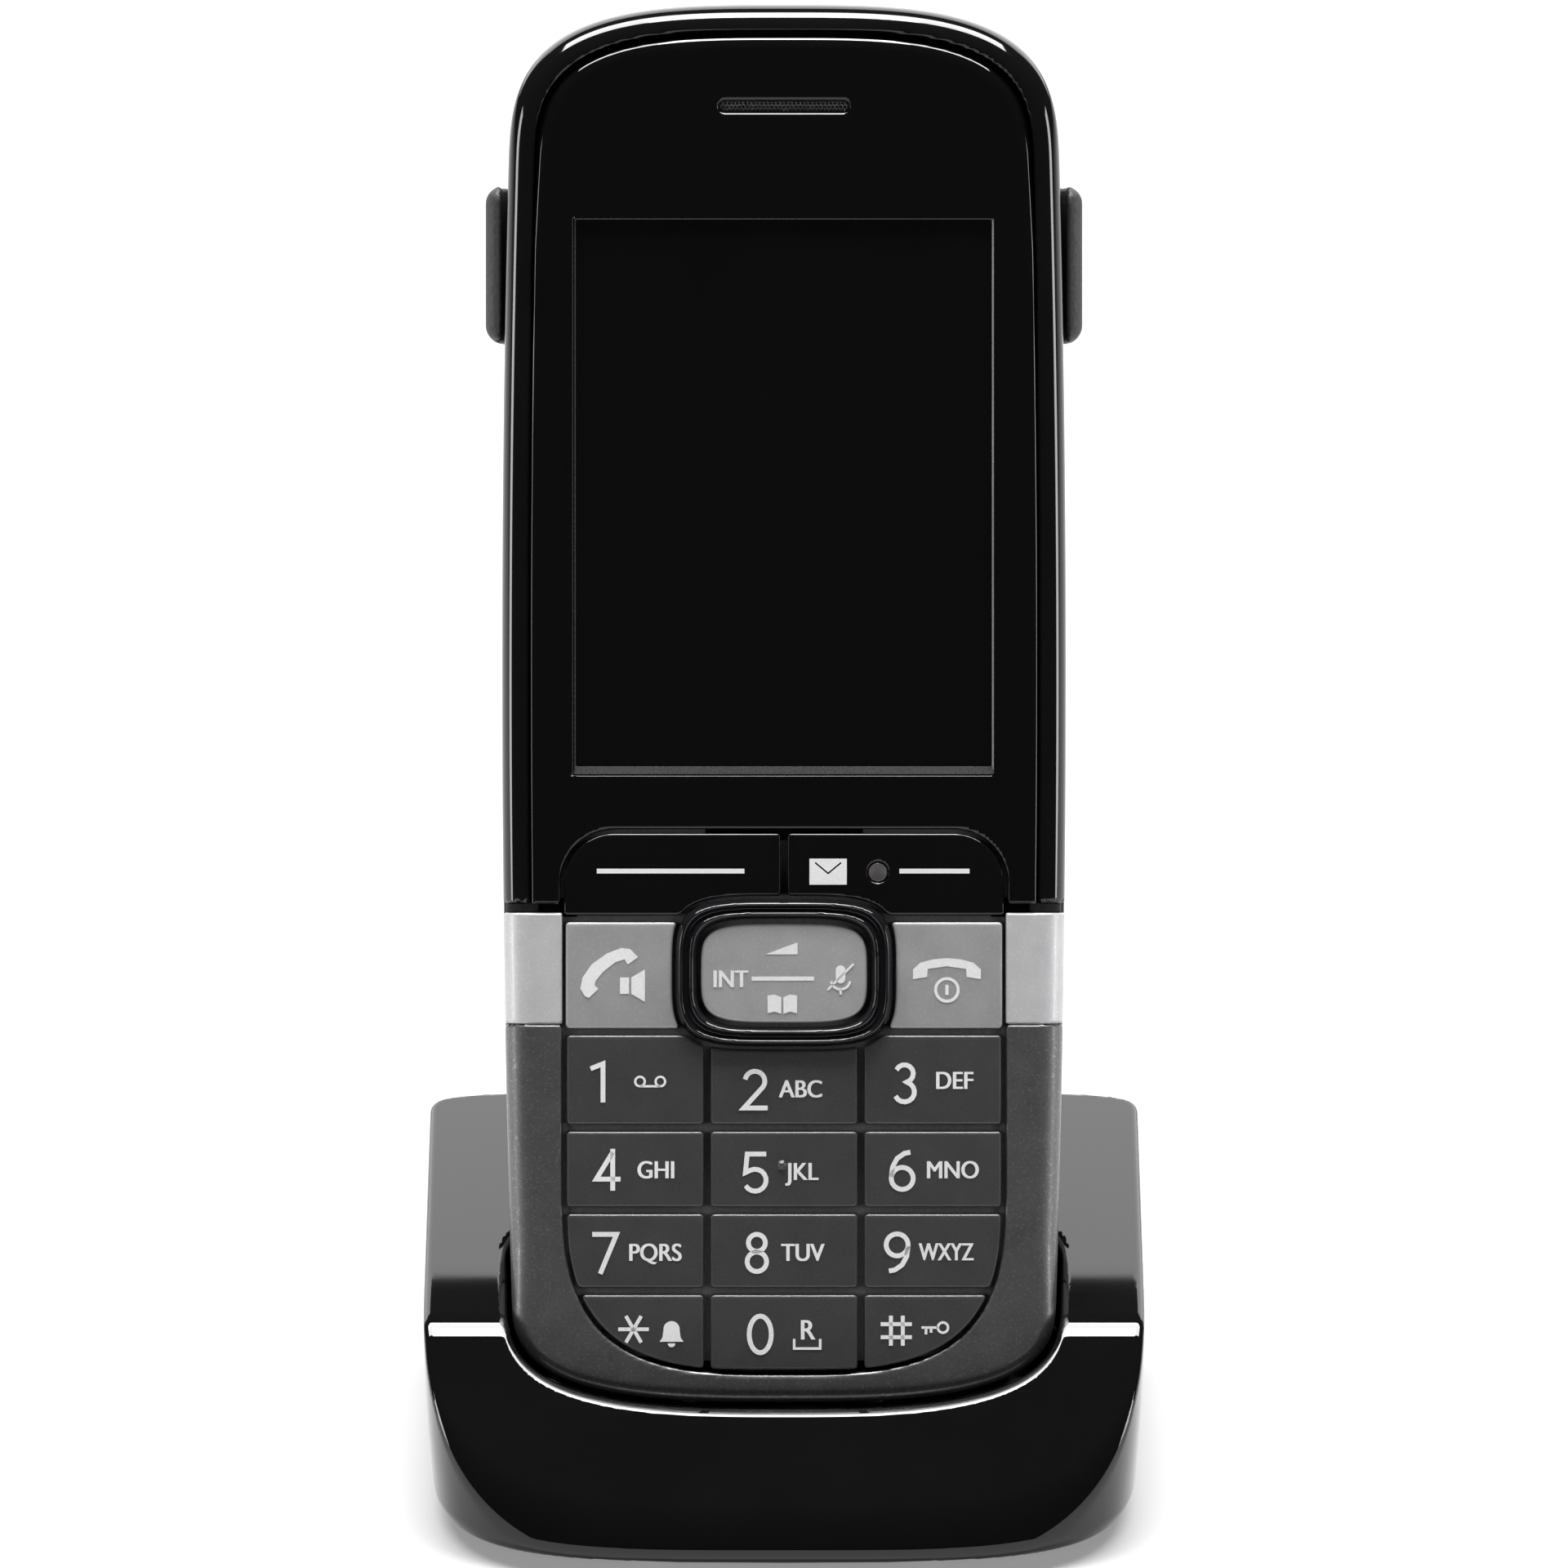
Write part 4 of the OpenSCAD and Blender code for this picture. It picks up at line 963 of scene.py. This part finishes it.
for side, node, shapes in ((-1, "talk_key", talk_signs), (1, "end_key", end_signs)):
    def call_plan(x, y):
        sides = block((side * x, y), (5.5, PAD_HALF - RIM_GAP), CALL_ROW, soft=0.35)
        return rounded(sides, -nav(x, y, NAV_OUTER, RIM_GAP), 0.3)
    reach = sorted((side * 5.5, side * PAD_HALF))
    moulding(f"{node}_cap", key_cap(call_plan, (side * CALL_AT, CALL_STEM)), (reach[0], 33.1, STEM_BACK),
             (reach[1], 42.5, KEY_FRONT), KEY_STEP, key_silver, node, node)
    signs(f"{node}_legend", shapes, KEY_FRONT, node)


# ---- Soft keys and message light --------------------------------------------------------------
# Two gloss black keys that run on from the glass. The right one has a hole for the message
# light, a small clear lens over a lamp.
SOFT_LOW = 43.1
SOFT_AT, SOFT_STEM = 10, 47.8
LIGHT_AT = (8.3, 46.9)
soft_black = gloss_paint("soft_key_black", (0.003, 0.003, 0.0031), 0.07)
soft_signs = {
    "soft_key_left": [ribbon([(-16.55, 47.0), (-3.5, 47.0)], 0.42)],
    "soft_key_right": [ribbon([(10.2, 47.0), (16.4, 47.0)], 0.42),
                       [[(2.25, 45.8), (5.55, 45.8), (5.55, 48.1), (2.25, 48.1)],
                        *ribbon([(2.75, 47.75), (3.9, 46.8), (5.05, 47.75)], 0.14)]]}
for side, (node, shapes) in zip((-1, 1), soft_signs.items()):
    def soft_plan(x, y):
        sides = rounded(soft_cutout(x, y, -RIM_GAP / 2), RIM_GAP - side * x, 0.3)
        sides = rounded(sides, SOFT_LOW - y, 0.3)
        sides = rounded(sides, -nav(x, y, NAV_OUTER, RIM_GAP), 0.3)
        return np.maximum(sides, -post(x, y, LIGHT_AT, 0.9)) if side > 0 else sides
    reach = sorted((0, side * PAD_HALF))
    moulding(f"{node}_cap", key_cap(soft_plan, (side * SOFT_AT, SOFT_STEM), 0.02),
             (reach[0], SOFT_LOW, STEM_BACK), (reach[1], SOFT_HIGH, KEY_FRONT), KEY_STEP, soft_black,
             node, node)
    signs(f"{node}_legend", shapes, KEY_FRONT, node)


def message_light(x, y, z):
    dome = KEY_FRONT - 0.12 * np.hypot(x - LIGHT_AT[0], y - LIGHT_AT[1]) ** 2
    return np.maximum(rounded(post(x, y, LIGHT_AT, 0.85), z - dome, 0.12), CAP_BACK - z)


light_smoke = gloss_paint("light_smoke", (0.09, 0.085, 0.085), 0.2, Transmission_Weight=0.3)
moulding("message_light_lens", message_light, (LIGHT_AT[0] - 1, LIGHT_AT[1] - 1, CAP_BACK),
         (LIGHT_AT[0] + 1, LIGHT_AT[1] + 1, KEY_FRONT), 0.1, light_smoke, "soft_key_right",
         "message_light")


# ---- Navigation ring and key ------------------------------------------------------------------
# A gloss black ring with two rolled ridges frames the silver rocker plate, which tips on the
# two crossed pivots of its carrier and presses straight down on the actuator.
NAV_INNER, NAV_PLATE = (7.75, 4.8), (7.35, 4.4)
RING_TOP, RING_BACK = 15.2, 11.05
PLATE_TOP, PLATE_BACK = 14.9, 13.5
ROCK_HALF = 4


def nav_ring(x, y, z):
    outer, inner = nav(x, y, NAV_OUTER), nav(x, y, NAV_INNER)
    across = np.clip(outer / np.minimum(outer - inner, -0.1), 0, 1)
    ridges = RING_TOP - 0.45 * (0.5 + 0.5 * np.cos(4 * np.pi * across))
    solid = rounded(rounded(outer, z - ridges, 0.45), -inner, 0.25)
    return np.maximum(solid, RING_BACK - z)


def nav_key(x, y, z):
    top = PLATE_TOP - 0.05 * ((x / NAV_PLATE[0]) ** 2 + ((y - NAV_AT) / NAV_PLATE[1]) ** 2)
    plate = np.maximum(rounded(nav(x, y, NAV_PLATE), z - top, 0.3), PLATE_BACK - z)
    legs = np.minimum(post(x, y, (-ROCK_HALF, NAV_AT), 0.8), post(x, y, (ROCK_HALF, NAV_AT), 0.8))
    return np.minimum(plate, np.maximum(legs, np.maximum(10 - z, z - 13.8)))


moulding("nav_ring_moulding", nav_ring, (-10, NAV_AT - 6.6, RING_BACK), (10, NAV_AT + 6.6, RING_TOP), 0.2,
         gloss_paint("ring_black", (0.006, 0.006, 0.007), 0.08), "handset", "nav_ring")
nav_silver = flake_paint("nav_silver", (0.4, 0.4, 0.405), 0.36, 0.12, metallic=0.4, Coat_Weight=0.35)
moulding("nav_key_plate", nav_key, (-7.5, NAV_AT - 4.5, 10), (7.5, NAV_AT + 4.5, PLATE_TOP), 0.2,
         nav_silver, "nav_key", "nav_key")
PAGE = [(0.1, 34.4), (0.7, 34.6), (1.3, 34.45), (1.3, 36.0), (0.7, 36.1), (0.1, 35.85)]
signs("nav_key_legend", [
    [[(-1.65, 39.65), (1.2, 39.65), (1.2, 40.7)]],
    ("INT", -4.75, 36.75, 2.15),
    ribbon([(-2.85, 37.5), (2.65, 37.5)], 0.36),
    [[*arc((5.0, 38.25), 0.42, 0, 180, 8), *arc((5.0, 37.5), 0.42, 180, 360, 8)]],
    ribbon(arc((5.0, 37.4), 0.85, 190, 350, 12), 0.2),
    ribbon([(5.0, 36.55), (5.0, 36.1)], 0.2),
    ribbon([(3.85, 36.5), (6.15, 38.8)], 0.18),
    *[[[(side * out - 0.15, y) for out, y in PAGE]] for side in (-1, 1)],
], PLATE_TOP, "nav_key")
acetal = grained_paint("acetal_white", (0.7, 0.7, 0.68), 0.4, 0.003)
dress(acetal, "nav_actuator")
dress(satin_paint("carrier_grey", (0.3, 0.3, 0.3), 0.45), "nav_carrier")


# ---- Battery cover ----------------------------------------------------------------------------
# A thin satin lid in the back. Two lugs at its foot hook under the housing, and a finger dish
# with grip grooves opens it from the top.
COVER_GAP, COVER_THICK = 0.25, 1.4


def battery_cover(x, y, z):
    plan = block((x, y), (-BAY_HALF + COVER_GAP, BAY_HALF - COVER_GAP),
                 (BAY_LOW + COVER_GAP, BAY_HIGH - COVER_GAP), soft=1.0)
    solid = np.maximum(rounded(plan, -z, 0.25), z - COVER_THICK)
    dish = np.hypot(np.hypot(x, y - BAY_HIGH - 2.5) / 6, (z + 0.4) / 1.0) - 1
    solid = rounded(solid, -dish, 0.1)
    for k in range(4):
        groove = block((x, y, z), (-7 + k, 7 - k), (49.2 - 1.3 * k, 49.7 - 1.3 * k), (-1, 0.3), soft=0.24)
        solid = np.maximum(solid, -groove)
    for side in (-1, 1):
        rise = block((x - side * 11, y, z), (-2.5, 2.5), (20.45, 21.25), (1, 2.5), soft=0.1)
        hook = block((x - side * 11, y, z), (-2.5, 2.5), (18.65, 21.25), (1.75, 2.5), soft=0.1)
        solid = np.minimum(solid, np.minimum(rise, hook))
    return solid


moulding("battery_cover_lid", battery_cover, (-BAY_HALF, 18.6, 0), (BAY_HALF, BAY_HIGH, 2.5), 0.42,
         satin_paint("cover_black", (0.016, 0.016, 0.017), 0.42), "battery_cover",
         "battery_cover")


# ---- Belt clip --------------------------------------------------------------------------------
# A tough grained moulding: a bar behind the handset with two arms that snap over its sides, and
# a sprung tongue that the belt slides under.
CLIP_HALF, ARM_THICK, ARM_TOP = 26.5, 1.45, 9.6
ARM_LOW, ARM_HIGH = 93.8, 107.8
CLIP_BACK, CLIP_THICK = 0.3, 1.9
TONGUE_HALF, TONGUE_LOW = 9.5, 71
TONGUE_AXIS, TONGUE_DEEP, TONGUE_THICK = 103.8, -9.1, 1.8


def belt_clip_frame(x, y, z):
    back = -CLIP_BACK - CLIP_THICK
    corner = HANDSET_BACK_ROUND + CLIP_BACK
    outer = rounded(np.abs(x) - CLIP_HALF, back - z, corner + ARM_THICK)
    inner = rounded(np.abs(x) - CLIP_HALF + ARM_THICK, -CLIP_BACK - z, corner)
    hoop = rounded(outer, -inner, 0.3)
    ends = rounded(np.maximum(ARM_LOW - y, y - ARM_HIGH), z - ARM_TOP, 1.6)
    hoop = rounded(rounded(hoop, ends, 0.4), rounded(outer, ends, 1.6), 0.01)
    plate = block((x, y), (-14, 14), (79, ARM_HIGH), soft=2.5)
    plate = rounded(plate, np.maximum(back - z, z + CLIP_BACK), 0.3)
    bridge = block((x, y, z), (-TONGUE_HALF, TONGUE_HALF), (ARM_HIGH - 2.75, ARM_HIGH),
                   (TONGUE_DEEP - TONGUE_THICK / 2, back + 0.5), soft=0.4)
    return np.minimum(np.minimum(hoop, plate), bridge)


def belt_clip_tongue(x, y, z):
    half = TONGUE_THICK / 2
    deep = z - TONGUE_DEEP
    blade = block((x, y), (-TONGUE_HALF, TONGUE_HALF), (TONGUE_LOW, TONGUE_AXIS), soft=2.8)
    blade = rounded(blade, np.abs(deep) - half, 0.4)
    root = np.maximum(np.hypot(y - TONGUE_AXIS, deep) - half, np.abs(x) - TONGUE_HALF)
    root = np.minimum(root, block((x, y, deep), (-9.5, 9.5), (TONGUE_AXIS - 6, TONGUE_AXIS), (-half, half)))
    lip = np.maximum(np.hypot(y - TONGUE_LOW - 4, deep - half) - 1.4, np.abs(x) - TONGUE_HALF + 2)
    ribs = np.abs((y - 80) / 1.6 - np.round((y - 80) / 1.6)) * 1.6 - 0.3
    ribs = np.maximum(np.maximum(ribs, deep + half - 0.25), np.maximum(np.abs(x) - 6, np.abs(y - 80) - 4.2))
    return np.minimum(np.maximum(np.minimum(blade, root), -ribs), lip)


clip_black = grained_paint("clip_black", (0.03, 0.03, 0.031), 0.5, 0.035, 2.6)
moulding("belt_clip_frame_moulding", belt_clip_frame, (-CLIP_HALF, 79, TONGUE_DEEP - 1),
         (CLIP_HALF, ARM_HIGH, ARM_TOP), 0.4, clip_black, "belt_clip", "belt_clip_frame")
moulding("belt_clip_tongue_moulding", belt_clip_tongue, (-TONGUE_HALF, TONGUE_LOW, TONGUE_DEEP - 1),
         (TONGUE_HALF, TONGUE_AXIS + 1, TONGUE_DEEP + 2.4), 0.32, clip_black, "belt_clip_tongue",
         "belt_clip_tongue")
